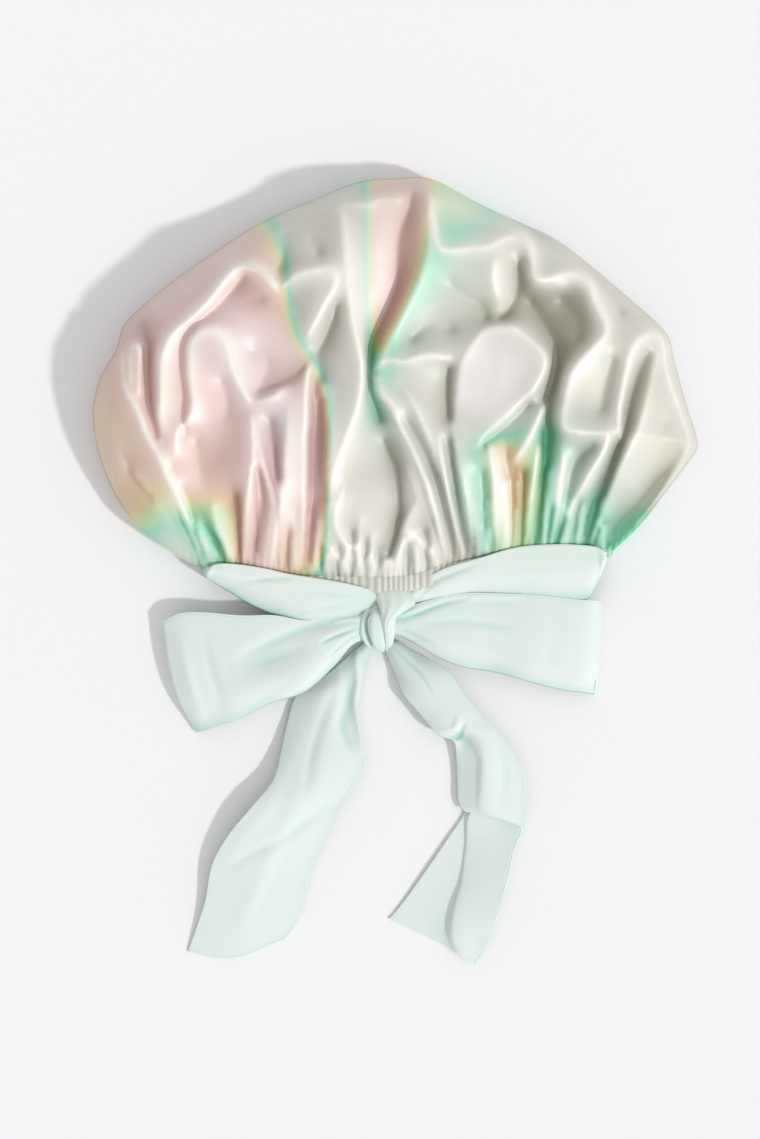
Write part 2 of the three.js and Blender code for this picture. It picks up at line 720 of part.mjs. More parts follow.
// The stitches that hold the sash to the back of the hem, seen inside the mouth.
function sashSeam() {
  const z = backZ + casingThick / 2 + CLEAR + THREAD / 2;
  const points = Array.from({ length: HEM_STEPS + 1 }, (_, i) => {
    const x = MOUTH_OFFSET + mix(-BACK_SEAM_LENGTH / 2, BACK_SEAM_LENGTH / 2, i / HEM_STEPS);
    return vector(x, hemY(x), z);
  });
  return threadSolid(points, THREAD);
}

// Sash

// The top edge of a band, and the bottom edge, which lies just above the loop.
const bandTop = (side, x, share) => hemY(x) + read(bands[side], share, 1) * casingWidth;
const bandBottom = (side, x, share) =>
  mix(hemY(x) - casingWidth / 2, loopTop(side, x) + SASH_EDGE + CLEAR + ROOM, read(bands[side], share, 2));

// The sash under the back of the hem. At each side it turns up, to the level where the bands begin.
function sashBack() {
  const places = ringPlaces(sashOffset, -1);
  const grid = places.map(({ x, z }) => {
    const spread = smooth((mouthHalf - Math.abs(x - MOUTH_OFFSET)) / SIDE_REACH);
    const side = x < MOUTH_OFFSET ? "left" : "right";
    const top = mix(bandTop(side, x, 0), hemY(x) - casingWidth / 2 + SASH_BACK_WIDTH, spread);
    const bottom = mix(bandBottom(side, x, 0), hemY(x) - casingWidth / 2, spread);
    return [0, 0.5, 1].map((share) => vector(x, mix(top, bottom, share), z));
  });
  return ringSheet(places, grid);
}

// A sheet that follows the ring, with its two faces square to the ring at each place.
function ringSheet(places, grid) {
  const moved = (distance) =>
    grid.map((row, i) =>
      row.map((p) => vector(p.x + places[i].nx * distance, p.y, p.z + places[i].nz * distance)),
    );
  return shellSolid(moved(SASH_CLOTH / 2), moved(-SASH_CLOTH / 2));
}

// A band from the side of the mouth, over the front of the hem, to the knot.
function sashBand(side) {
  const ring = ringPlaces(sashOffset, 1);
  const turned = (side === "left" ? ring : ring.toReversed()).slice(0, SIDE_STEPS + 1);
  const start = turned.at(-1);
  const endX = KNOT_OFFSET + sign[side] * (coreHalf + CLEAR);
  const rows = turned.map((place) => ({ ...place, share: 0 }));
  for (let i = 1; i <= RIBBON_STEPS; i += 1) {
    const share = i / RIBBON_STEPS;
    rows.push({ x: mix(start.x, endX, share), z: start.z, nx: 0, nz: 1, share });
  }
  const grid = rows.map(({ x, z, share }) => {
    const top = bandTop(side, x, share);
    const bottom = bandBottom(side, x, share);
    return Array.from({ length: RIBBON_COLUMNS }, (_, j) => {
      const y = mix(top, bottom, j / (RIBBON_COLUMNS - 1));
      const pastHem = Math.max(0, hemY(x) - casingWidth / 2 - ROOM - y);
      const atKnot = smooth(share * 4 - 3) * smooth((2 * pastHem) / casingWidth);
      const fall = smooth(share * 4) * pastHem * bandFall;
      return vector(x, y, mix(z - fall, knotZ + LOOP_NECK_RADIUS, atKnot));
    });
  });
  return ringSheet(rows, grid);
}

// Knot

function ovalRing(x, length, height) {
  return Array.from({ length: OVAL_SIDES }, (_, k) => {
    const angle = (k / OVAL_SIDES) * 2 * Math.PI;
    return vector(x, knotY + (Math.cos(angle) * length) / 2, knotZ + (Math.sin(angle) * height) / 2);
  });
}

function knotWrap() {
  const places = knotSwellShares.map((share, i) => ({
    x: KNOT_OFFSET + mix(-KNOT_WIDTH / 2, KNOT_WIDTH / 2, i / (knotSwellShares.length - 1)),
    share,
  }));
  const outer = places.map(({ x, share }) => ovalRing(x, KNOT_LENGTH * share, KNOT_HEIGHT * share));
  const bore = [coreLength + 2 * CLEAR, coreHeight + 2 * CLEAR];
  const inner = places.map(({ x }) => ovalRing(x, ...bore));
  return pipeSolid(outer, inner);
}

function knotCore() {
  const ends = [KNOT_OFFSET - coreHalf, KNOT_OFFSET + coreHalf];
  return loftSolid(ends.map((x) => ovalRing(x, coreLength, coreHeight)));
}

// Loops

const loopHinge = (side) => KNOT_OFFSET + sign[side] * (coreHalf + CLEAR + LOOP_NECK_RADIUS);

// The upper edge of a loop at `x`.
function loopTop(side, x) {
  const out = ((x - loopHinge(side)) * sign[side]) / loops[side].reach;
  const edge = loops[side].table.map((row) => [row[1], row[2]]);
  return loopTopAtKnot - read(edge, Math.min(edge.at(-1)[0], Math.max(0, out)), 1) * LOOP_DROP;
}

// The middle of the cloth of a loop: out along the top, round the open end and back underneath.
function loopGrid(side) {
  const { reach, table } = loops[side];
  const layer = (share, j, up) => {
    const across = j / (RIBBON_COLUMNS - 1);
    const out = mix(read(table, share, 1), read(table, share, 3), across) * reach;
    const drop = mix(read(table, share, 2), read(table, share, 4), across) * LOOP_DROP;
    const atNeck = knotZ + up * loopLayerGap;
    const z = mix(atNeck, read(table, share, up > 0 ? 5 : 6) * LOOP_PUFF, smooth(share * 4));
    return vector(loopHinge(side) + sign[side] * out, loopTopAtKnot - drop, z);
  };
  const row = (share, up) => Array.from({ length: RIBBON_COLUMNS }, (_, j) => layer(share, j, up));
  const grid = [];
  for (let i = 0; i <= LOOP_STEPS; i += 1) grid.push(row(i / LOOP_STEPS, 1));
  for (let i = 1; i < LOOP_END_STEPS; i += 1) {
    const angle = (i / LOOP_END_STEPS) * Math.PI;
    grid.push(
      row(1, 1).map((upper, j) => {
        const low = layer(1, j, -1).z;
        const radius = (upper.z - low) / 2;
        const x = upper.x + sign[side] * Math.sin(angle) * radius;
        return vector(x, upper.y, low + radius * (1 + Math.cos(angle)));
      }),
    );
  }
  for (let i = LOOP_STEPS; i >= 0; i -= 1) grid.push(row(i / LOOP_STEPS, -1));
  return grid;
}

// The round neck that the loop turns on, where it leaves the knot.
function loopNeck(side) {
  const neck = new THREE.CylinderGeometry(LOOP_NECK_RADIUS, LOOP_NECK_RADIUS, LOOP_NECK, OVAL_SIDES);
  return neck.translate(loopHinge(side), loopTopAtKnot - LOOP_NECK / 2, knotZ);
}

// Tails

const tailRootX = (side) => KNOT_OFFSET + (sign[side] * TAIL_SPACING) / 2;

function tailGrid(side) {
  const rows = numbered(side === "left" ? leftTailShares : rightTailShares);
  const lift = (share, column) => SASH_CLOTH / 2 + read(rows, share, column) * TAIL_LIFT;
  return Array.from({ length: TAIL_STEPS + 1 }, (_, i) => {
    const share = i / TAIL_STEPS;
    const left = vector(read(rows, share, 1), -read(rows, share, 2), 0).multiplyScalar(TAIL_LENGTH);
    const right = vector(read(rows, share, 3), -read(rows, share, 4), 0).multiplyScalar(TAIL_LENGTH);
    return Array.from({ length: RIBBON_COLUMNS }, (_, j) => {
      const across = j / (RIBBON_COLUMNS - 1);
      const z = mix(mix(lift(share, 5), lift(share, 6), smooth(across)), knotZ, 1 - smooth(share * 6));
      return left.clone().lerp(right, across).add(vector(tailRootX(side), tailRootY, z));
    });
  });
}

function tailRoot(side) {
  const root = new THREE.CylinderGeometry(TAIL_ROOT_RADIUS, TAIL_ROOT_RADIUS, TAIL_ROOT_HEIGHT, OVAL_SIDES);
  return root.rotateX(Math.PI / 2).translate(tailRootX(side), tailRootY, knotZ);
}

// The overlocked edge beside a line of a sheet's points, square to that line and away from the next
// line in.
function edging(edge, inward) {
  return edge.map((point, i) => {
    const along = edge[Math.min(i + 1, edge.length - 1)].clone().sub(edge[Math.max(i - 1, 0)]).normalize();
    const away = point.clone().sub(inward[i]);
    away.addScaledVector(along, -away.dot(along)).normalize();
    return point.clone().addScaledVector(away, CLEAR + SASH_EDGE / 2);
  });
}

const column = (grid, j) => grid.map((row) => row.at(j));

function loopEdging(grid, j) {
  const inside = j === 0 ? 1 : -2;
  return threadSolid(edging(column(grid, j), column(grid, inside)).slice(2, -2), SASH_EDGE);
}

// One thread down the left edge of a tail, across its cut end and back up the right edge.
function tailEdging(grid) {
  const clearOfRoot = 3;
  const left = edging(column(grid, 0), column(grid, 1)).slice(clearOfRoot);
  const right = edging(column(grid, -1), column(grid, -2)).slice(clearOfRoot);
  const end = edging(grid.at(-1), grid.at(-2));
  const corner = (beside, below, at) => beside.clone().add(below).sub(at);
  const leftCorner = corner(left.pop(), end[0], grid.at(-1)[0]);
  const rightCorner = corner(right.pop(), end.at(-1), grid.at(-1).at(-1));
  const points = [...left, leftCorner, ...end.slice(1, -1), rightCorner, ...right.toReversed()];
  return threadSolid(points, SASH_EDGE);
}

// Finishes

const satin = (color) => new THREE.MeshStandardMaterial({ color, roughness: 0.32, metalness: 0.1 });
const crepe = (color) => new THREE.MeshStandardMaterial({ color, roughness: 0.85, metalness: 0 });
const finishes = {
  satin: satin(0xe6d9d4),
  casing: satin(0xdad8d0),
  elastic: crepe(0xf4f3ef),
  sash: crepe(0xe2efea),
  thread: crepe(0xeef3ee),
};

// The whole bonnet

const bonnet = new THREE.Group();

function add(name, geometry, finish) {
  const mesh = new THREE.Mesh(geometry, finish);
  mesh.name = name;
  bonnet.add(mesh);
}

const frontGrid = crownGrid(CROWN_FRONT_COLUMNS, CROWN_FRONT_ROWS, 1, frontHeight);
const backGrid = crownGrid(CROWN_BACK_COLUMNS, CROWN_BACK_ROWS, -1, backHeight);
add("crown_front", crownWall(frontGrid, 1), finishes.satin);
add("crown_back", crownWall(backGrid, -1), finishes.satin);
add("casing_front", casing(1), finishes.casing);
add("casing_back", casing(-1), finishes.casing);
add("elastic_band", elastic(), finishes.elastic);
add("casing_stitching_front", casingSeam(1), finishes.thread);
add("casing_stitching_back", casingSeam(-1), finishes.thread);
add("sash_back", sashBack(), finishes.sash);
add("sash_stitching", sashSeam(), finishes.thread);
add("sash_band_left", sashBand("left"), finishes.sash);
add("sash_band_right", sashBand("right"), finishes.sash);
add("knot_wrap", knotWrap(), finishes.sash);
add("knot_core", knotCore(), finishes.sash);

for (const side of ["left", "right"]) {
  const loop = loopGrid(side);
  add(`loop_${side}`, join(sheetSolid(loop, SASH_CLOTH), loopNeck(side)), finishes.sash);
  add(`loop_${side}_edging_upper`, loopEdging(loop, 0), finishes.thread);
  add(`loop_${side}_edging_lower`, loopEdging(loop, -1), finishes.thread);
  const tail = tailGrid(side);
  add(`tail_${side}`, join(sheetSolid(tail, SASH_CLOTH), tailRoot(side)), finishes.sash);
  add(`tail_${side}_edging`, tailEdging(tail), finishes.thread);
}

const box = new THREE.Box3().setFromObject(bonnet);
const middle = box.getCenter(vector(0, 0, 0));
bonnet.position.set(-middle.x, -middle.y, -box.min.z);

export default bonnet;
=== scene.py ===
# %% [markdown]
# A satin hair bonnet with a crepe sash, laid on a table and seen from straight above. The bonnet is one
# big circle of printed satin, gathered on an elastic hem, and the sash goes round the hem and ties in a
# bow.
#
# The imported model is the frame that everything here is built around. It has the joints, the bodies that
# move on them, and plain solids for each piece of cloth. Each solid is replaced by a finer surface below,
# apart from the small stitching of the sash, which stays as it is.

import math

import bpy
import numpy as np
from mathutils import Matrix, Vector


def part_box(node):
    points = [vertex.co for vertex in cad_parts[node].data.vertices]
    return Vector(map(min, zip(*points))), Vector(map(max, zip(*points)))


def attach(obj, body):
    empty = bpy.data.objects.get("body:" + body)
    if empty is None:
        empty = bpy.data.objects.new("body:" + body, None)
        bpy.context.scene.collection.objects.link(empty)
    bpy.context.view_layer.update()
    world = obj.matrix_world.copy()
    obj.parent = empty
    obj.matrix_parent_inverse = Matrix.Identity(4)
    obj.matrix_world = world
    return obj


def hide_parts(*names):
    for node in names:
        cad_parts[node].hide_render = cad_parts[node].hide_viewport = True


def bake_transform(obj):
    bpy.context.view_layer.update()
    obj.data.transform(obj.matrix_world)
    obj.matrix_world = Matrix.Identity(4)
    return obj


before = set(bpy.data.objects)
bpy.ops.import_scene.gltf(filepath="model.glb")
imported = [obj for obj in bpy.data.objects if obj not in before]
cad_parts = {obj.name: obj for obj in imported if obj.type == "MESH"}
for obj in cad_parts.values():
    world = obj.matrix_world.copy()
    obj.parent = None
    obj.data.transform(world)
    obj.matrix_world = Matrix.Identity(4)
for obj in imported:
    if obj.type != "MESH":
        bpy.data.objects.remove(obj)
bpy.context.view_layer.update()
MM = 0.001

# %% [markdown]
# The camera looks straight down. Its height and lens are chosen so that one pixel of the photograph is
# 0.6 mm at the level of the hem. With that known, a place seen in the photograph can be turned into a
# place in the frame, if its height above the table is known too. The function spots does this for a whole
# list of points, and it is used for every outline and fold below.

# %% Camera and the photograph's pixels
PHOTO_WIDTH, PHOTO_HEIGHT = 760, 1139
LENS_MM = 85
SENSOR_MM = 36
CLIP_START = 0.05
CAMERA_PLACE = Vector((-0.0081, 0.0015, 1.626))

camera = bpy.data.objects.new("camera", bpy.data.cameras.new("camera"))
camera.location = CAMERA_PLACE
camera.data.lens = LENS_MM
camera.data.sensor_width = SENSOR_MM
camera.data.clip_start = CLIP_START
bpy.context.scene.collection.objects.link(camera)
bpy.context.scene.camera = camera


def spots(points):
    """Rows of (pixel across, pixel down, height in mm) as places in metres."""
    points = np.asarray(points, float)
    z = points[..., 2] * MM
    pixel = (CAMERA_PLACE.z - z) * SENSOR_MM / LENS_MM / PHOTO_HEIGHT
    x = CAMERA_PLACE.x + (points[..., 0] - PHOTO_WIDTH / 2) * pixel
    y = CAMERA_PLACE.y - (points[..., 1] - PHOTO_HEIGHT / 2) * pixel
    return np.stack([x, y, z], -1)


def flat_spots(points, height_mm):
    """Rows of (pixel across, pixel down, anything) as x and y in metres, all at one height."""
    points = np.asarray(points, float)
    level = np.full(len(points), height_mm)
    return spots(np.column_stack([points[:, 0], points[:, 1], level]))[:, :2]


# %% [markdown]
# Every finish below is a small graph of shader nodes, and a few short functions keep that readable. One
# starts a finish and sets the inputs of its shader. One adds a node, sets its inputs and links those that
# come from another node. The others are short names for what comes up often: a ramp of colours, a screen
# colour as the linear colour that a shader works with, a number stored on the cloth, a change of range, a
# mix of two colours, and a bump.

# %% Helpers for shader nodes
def new_finish(name, **values):
    """A material, its node tree and its shader, with the inputs of the shader set by name."""
    finish = bpy.data.materials.new(name)
    finish.use_nodes = True
    shader = finish.node_tree.nodes["Principled BSDF"]
    for key, value in values.items():
        shader.inputs[key.replace("_", " ")].default_value = value
    return finish, finish.node_tree, shader


def add_node(tree, kind, settings=None, **inputs):
    """Adds a shader node, sets its inputs, and links those that are given as sockets."""
    made = tree.nodes.new("ShaderNode" + kind)
    for key, value in (settings or {}).items():
        setattr(made, key, value)
    for key, value in inputs.items():
        socket = made.inputs[int(key[1:]) if key[1:].isdigit() else key.replace("_", " ")]
        if isinstance(value, bpy.types.NodeSocket):
            tree.links.new(value, socket)
        else:
            socket.default_value = value
    return made


def ramp(tree, factor, stops):
    """A colour for each value of `factor`, from (place, colour) pairs."""
    made = add_node(tree, "ValToRGB", Fac=factor)
    elements = made.color_ramp.elements
    while len(elements) < len(stops):
        elements.new(0.5)
    for element, (place, color) in zip(elements, stops):
        element.position = place
        element.color = (*color, 1)
    return made.outputs["Color"]


def linear(r, g, b):
    """A screen colour as the linear colour that the shader wants."""
    return tuple(((c + 0.055) / 1.055) ** 2.4 if c > 0.04 else c / 12.92 for c in (r, g, b))


def attribute(tree, name):
    """A number that is stored on the points of the cloth."""
    return add_node(tree, "Attribute", {"attribute_name": name}).outputs["Fac"]


def map_range(tree, value, start, end, low, high):
    """`value` between `start` and `end` as a number between `low` and `high`."""
    made = add_node(tree, "MapRange", Value=value, From_Min=start, From_Max=end, To_Min=low, To_Max=high)
    return made.outputs["Result"]


def mix(tree, factor, a, b, how="MIX"):
    """Two colours, mixed by `factor`."""
    settings = {"data_type": "RGBA", "blend_type": how}
    return add_node(tree, "Mix", settings, _0=factor, _6=a, _7=b).outputs[2]


def add_bump(tree, shader, height, strength, distance):
    """Lets a fine pattern tilt the surface a little, as the threads of a weave do."""
    bump = add_node(tree, "Bump", Strength=strength, Distance=distance, Height=height)
    tree.links.new(bump.outputs[0], shader.inputs["Normal"])


# %% [markdown]
# The set is one wide pale floor, a low sun for the key light, and a pale world. The shadows in the
# photograph fall to the left and a little up, about 1.15 times as long as the height that casts them.
# That gives the direction of the sun. A sun lamp lights the whole floor evenly, and its angle softens the
# edge of the shadows. The world is a little brighter on the sun's side, so that the satin has something
# to mirror. The camera doesn't see that, but one plain colour.

# %% Floor, sun and world
KEY_ELEVATION = math.radians(42)
KEY_AZIMUTH = math.radians(-30)
KEY_STRENGTH = 1.5
KEY_ANGLE = math.radians(4)
WORLD_BRIGHT = 0.79
WORLD_DIM = 0.62
WORLD_DIM_UNTIL = -0.35
BACKDROP_COLOR = (0.9, 0.9, 0.92, 1)
FLOOR_COLOR = (0.885, 0.885, 0.905, 1)
FLOOR_ROUGHNESS = 0.95
FLOOR_SIZE = 12.0
FLOOR_DROP = 0.3 * MM

scene = bpy.context.scene
scene.view_settings.view_transform = "Standard"

bpy.ops.mesh.primitive_plane_add(size=FLOOR_SIZE, location=(0, 0, -FLOOR_DROP))
floor = bpy.context.object
floor.name = "floor"
paper, _, _ = new_finish(
    "floor_paper", Base_Color=FLOOR_COLOR, Roughness=FLOOR_ROUGHNESS, Specular_IOR_Level=0.0
)
floor.data.materials.append(paper)

sun = bpy.data.objects.new("key_sun", bpy.data.lights.new("key_sun", "SUN"))
sun.data.energy = KEY_STRENGTH
sun.data.angle = KEY_ANGLE
level_reach = math.cos(KEY_ELEVATION)
toward_sun = Vector(
    (level_reach * math.cos(KEY_AZIMUTH), level_reach * math.sin(KEY_AZIMUTH), math.sin(KEY_ELEVATION))
)
sun.rotation_mode = "QUATERNION"
sun.rotation_quaternion = toward_sun.to_track_quat("Z", "Y")
scene.collection.objects.link(sun)

world = bpy.data.worlds.new("studio")
world.use_nodes = True
scene.world = world
air = world.node_tree
sky = air.nodes["Background"]
sky.inputs["Color"].default_value = (1, 1, 1, 1)
direction = add_node(air, "TexCoord").outputs["Generated"]
dot_product = {"operation": "DOT_PRODUCT"}
sunward = add_node(air, "VectorMath", dot_product, _0=direction, _1=toward_sun).outputs["Value"]
sky_level = add_node(air, "MapRange", {"interpolation_type": "SMOOTHSTEP"}, Value=sunward)
for socket, value in zip(sky_level.inputs[1:5], (WORLD_DIM_UNTIL, 1.0, WORLD_DIM, WORLD_BRIGHT)):
    socket.default_value = value
air.links.new(sky_level.outputs["Result"], sky.inputs["Strength"])
backdrop = add_node(air, "Background", Color=BACKDROP_COLOR)
seen = add_node(air, "LightPath").outputs["Is Camera Ray"]
choose = add_node(air, "MixShader", Fac=seen, _1=sky.outputs[0], _2=backdrop.outputs[0])
air.links.new(choose.outputs[0], air.nodes["World Output"].inputs["Surface"])
print("sun", round(math.degrees(KEY_ELEVATION)), "degrees up, world", WORLD_DIM, "to", WORLD_BRIGHT)

# %% [markdown]
# Every piece of cloth here starts as a grid of points, rows by columns. A few given points are
# joined with a smooth curve that passes through them. The same small function does it for one line of
# points and for a whole grid.

# %% Curves and grids
WELD_REACH = 1e-6


def spline(points, count):
    """`count` points on a smooth curve through the first axis of `points`."""
    p = np.asarray(points, float)
    p = np.concatenate([2 * p[:1] - p[1:2], p, 2 * p[-1:] - p[-2:-1]])
    t = np.linspace(0, len(p) - 3 - 1e-9, count)
    i = t.astype(int)
    f = (t - i).reshape(-1, *[1] * (p.ndim - 1))
    a, b, c, d = (p[i + n] for n in range(4))
    return b + f * ((c - a) + f * ((2 * a - 5 * b + 4 * c - d) + f * (3 * b - a - 3 * c + d))) / 2


def even(points, count):
    """The same line with its points evenly spaced."""
    steps = np.linalg.norm(np.diff(points, axis=0), axis=1)
    along = np.concatenate([[0], np.cumsum(steps)])
    at = np.linspace(0, along[-1], count)
    return np.column_stack([np.interp(at, along, points[:, k]) for k in range(points.shape[1])])


def smooth(t):
    """A soft step from 0 to 1."""
    t = np.clip(t, 0, 1)
    return t * t * (3 - 2 * t)


def grid_mesh(name, grid, closed=False, attributes=None):
    """A mesh of quads through a grid of points, with its cloth directions in metres as a UV map."""
    rows, columns = grid.shape[:2]
    index = np.arange(rows * columns).reshape(rows, columns)
    if closed:
        index = np.column_stack([index, index[:, 0]])
    quads = np.stack([index[:-1, :-1], index[1:, :-1], index[1:, 1:], index[:-1, 1:]], -1).reshape(-1, 4)
    mesh = bpy.data.meshes.new(name)
    mesh.from_pydata(grid.reshape(-1, 3).tolist(), [], quads.tolist())
    across = np.linalg.norm(np.diff(grid, axis=1), axis=2).mean(0)
    along = np.linalg.norm(np.diff(grid, axis=0), axis=2).mean(1)
    u = np.concatenate([[0], np.cumsum(across), [across.sum() + across.mean()]])[: index.shape[1]]
    v = np.concatenate([[0], np.cumsum(along)])
    corner_u = np.stack([u[:-1], u[:-1], u[1:], u[1:]], -1)
    corner_v = np.stack([v[:-1], v[1:], v[1:], v[:-1]], -1)
    uv = np.empty((rows - 1, index.shape[1] - 1, 4, 2))
    uv[..., 0] = corner_u[None]
    uv[..., 1] = corner_v[:, None]
    mesh.uv_layers.new(name="cloth").data.foreach_set("uv", uv.ravel())
    for key, values in (attributes or {}).items():
        mark = mesh.attributes.new(key, "FLOAT", "POINT")
        mark.data.foreach_set("value", values.astype(np.float32).ravel())
    mesh.polygons.foreach_set("use_smooth", [True] * len(mesh.polygons))
    piece = bpy.data.objects.new(name, mesh)
    scene.collection.objects.link(piece)
    return piece


def apply_modifiers(piece):
    """Keeps what the modifiers make as the mesh of the piece."""
    bpy.context.view_layer.update()
    graph = bpy.context.evaluated_depsgraph_get()
    made = bpy.data.meshes.new_from_object(piece.evaluated_get(graph))
    piece.modifiers.clear()
    piece.data = made


def thicken(piece, thickness):
    """Gives a sheet its second side, half the thickness to each side of the grid."""
    weld = piece.modifiers.new("weld", "WELD")
    weld.merge_threshold = WELD_REACH
    solidify = piece.modifiers.new("thickness", "SOLIDIFY")
    solidify.thickness = thickness
    solidify.offset = 0
    apply_modifiers(piece)
    print(piece.name, len(piece.data.polygons), "faces")


# %% [markdown]
# The hem is a flattened ring: two straight sides, one above the other, joined by a half circle at each
# end. The casing, the elastic, the stitches, the sash and the edge of the crown all follow it, so it is
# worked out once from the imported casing. Seen from above the hem isn't straight. It dips below the bow
# and rises to the right.

# %% The ring of the hem
HEM_LINE = [
    (203, 575), (236, 573), (272, 580), (305, 583), (356, 584), (396, 584),
    (423, 579), (447, 571), (478, 565), (518, 558), (559, 556), (610, 556),
]
CASING_THICK = 4.4 * MM
CASING_WIDTH = 10.6 * MM
HEM_SAMPLES = 400

casing_low, casing_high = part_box("casing_front")
back_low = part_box("casing_back")[0]
mouth_x = (casing_low.x + casing_high.x) / 2
mouth_half = (casing_high.x - casing_low.x - CASING_THICK) / 2
front_z = casing_high.z - CASING_THICK / 2
back_z = back_low.z + CASING_THICK / 2
part_z = (front_z + back_z) / 2
side_radius = (front_z - back_z) / 2
hem_points = flat_spots([(x, y, 0) for x, y in HEM_LINE], front_z / MM)
hem_curve = spline(hem_points, HEM_SAMPLES)


def hem_y(x):
    """How far up the table the middle of the casing lies at each x."""
    return np.interp(x, hem_curve[:, 0], hem_curve[:, 1])


def half_ring(count, up, offset=0.0):
    """Evenly spaced places from the left side to the right: x, z and the direction that points out."""
    reach = mouth_half - side_radius
    radius = side_radius + offset
    angles = np.linspace(math.pi, math.pi / 2, 30)
    left = [(-reach + radius * math.cos(a), radius * math.sin(a), math.cos(a), math.sin(a)) for a in angles]
    middle = [(s * reach, radius, 0, 1) for s in np.linspace(-1, 1, 200)[1:-1]]
    right = [(-x, z, -nx, nz) for x, z, nx, nz in reversed(left)]
    path = np.array(left + middle + right)
    steps = np.linalg.norm(np.diff(path[:, :2], axis=0), axis=1)
    along = np.concatenate([[0], np.cumsum(steps)])
    at = np.linspace(0, along[-1], count)
    x, z, nx, nz = (np.interp(at, along, path[:, k]) for k in range(4))
    return mouth_x + x, part_z + up * z, nx, up * nz


def whole_ring(count, offset=0.0):
    """The full ring as rows of x, z, and the direction that points out, once round."""
    half = count // 2
    front = np.column_stack(half_ring(half + 1, 1, offset))[:-1]
    back = np.column_stack(half_ring(half + 1, -1, offset))[::-1][:-1]
    return np.concatenate([front, back]).T


print("mouth half", round(mouth_half, 4), "front", round(front_z, 4), "back", round(back_z, 4))

# %% [markdown]
# Satin falls in long ridges with soft hollows between them, like a tent over ropes. That is how the
# relief of the crown is made. Each fold that the photograph shows is a stroke: a few points with a height
# above or below the plain dome. A tight skin is then stretched over all the strokes. Numerically, each
# cell of a fine grid becomes the mean of its neighbours, with a slight pull back to zero, except on a
# stroke, where it keeps its height. A blur rounds the ridges to the radius that satin has.

# %% A skin stretched over strokes
FIELD_CELL = 0.9 * MM
FIELD_MARGIN = 12 * MM
SKIN_ROUNDS = 900
SKIN_CLOSE = 1e-9
crown_low, crown_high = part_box("crown_front")
field_x = np.arange(crown_low.x - FIELD_MARGIN, crown_high.x + FIELD_MARGIN, FIELD_CELL)
field_y = np.arange(crown_low.y - 2 * FIELD_MARGIN, crown_high.y + FIELD_MARGIN, FIELD_CELL)


def draw_strokes(strokes, level_mm):
    """Which cells of the field the strokes cross, and the number that each stroke has there."""
    fixed = np.zeros((len(field_y), len(field_x)), bool)
    skin = np.zeros(fixed.shape)
    for stroke in strokes:
        points = np.asarray(stroke, float)
        xy = flat_spots(points, level_mm)
        count = int(np.linalg.norm(np.diff(xy, axis=0), axis=1).sum() / FIELD_CELL * 3) + 2
        line = spline(np.column_stack([xy, points[:, 2]]), count)
        i = np.clip(np.rint((line[:, 1] - field_y[0]) / FIELD_CELL).astype(int), 0, len(field_y) - 1)
        j = np.clip(np.rint((line[:, 0] - field_x[0]) / FIELD_CELL).astype(int), 0, len(field_x) - 1)
        fixed[i, j] = True
        skin[i, j] = line[:, 2]
    return fixed, skin


def stretch_skin(strokes, pull, level_mm):
    """Heights on the field's cells. `pull` is how far in metres a stroke reaches before it fades."""
    fixed, skin = draw_strokes(strokes, level_mm)
    own = 4 + (FIELD_CELL / pull) ** 2

    def tension(h):
        p = np.pad(h, 1, mode="edge")
        return own * h - p[:-2, 1:-1] - p[2:, 1:-1] - p[1:-1, :-2] - p[1:-1, 2:]

    error = np.where(fixed, 0, -tension(skin))
    step = error.copy()
    size = first = float((error**2).sum())
    for _ in range(SKIN_ROUNDS):
        if size < SKIN_CLOSE * first:
            break
        change = np.where(fixed, 0, tension(step))
        share = size / float((step * change).sum())
        skin += share * step
        error -= share * change
        new = float((error**2).sum())
        step = error + new / size * step
        size = new
    return skin


def blur(field, radius, cell=FIELD_CELL):
    """A soft blur, `radius` in metres."""
    reach = max(1, int(3 * radius / cell))
    weights = np.exp(-0.5 * (np.arange(-reach, reach + 1) * cell / radius) ** 2)
    weights /= weights.sum()
    for axis in (0, 1):
        wide = np.pad(field, [(reach, reach) if a == axis else (0, 0) for a in (0, 1)], mode="edge")
        field = sum(w * np.take(wide, range(k, k + field.shape[axis]), axis) for k, w in enumerate(weights))
    return field


def read_field(field, x, y):
    """The field at any places, by a smooth curve through its cells."""
    fx = np.clip((x - field_x[0]) / FIELD_CELL, 1, len(field_x) - 3)
    fy = np.clip((y - field_y[0]) / FIELD_CELL, 1, len(field_y) - 3)
    j, i = fx.astype(int), fy.astype(int)
    u, v = fx - j, fy - i

    def weights(t):
        return (
            (-t + 2 * t**2 - t**3) / 2,
            (2 - 5 * t**2 + 3 * t**3) / 2,
            (t + 4 * t**2 - 3 * t**3) / 2,
            (-(t**2) + t**3) / 2,
        )

    wu, wv = weights(u), weights(v)
    return sum(wv[b] * wu[a] * field[i + b - 1, j + a - 1] for a in range(4) for b in range(4))
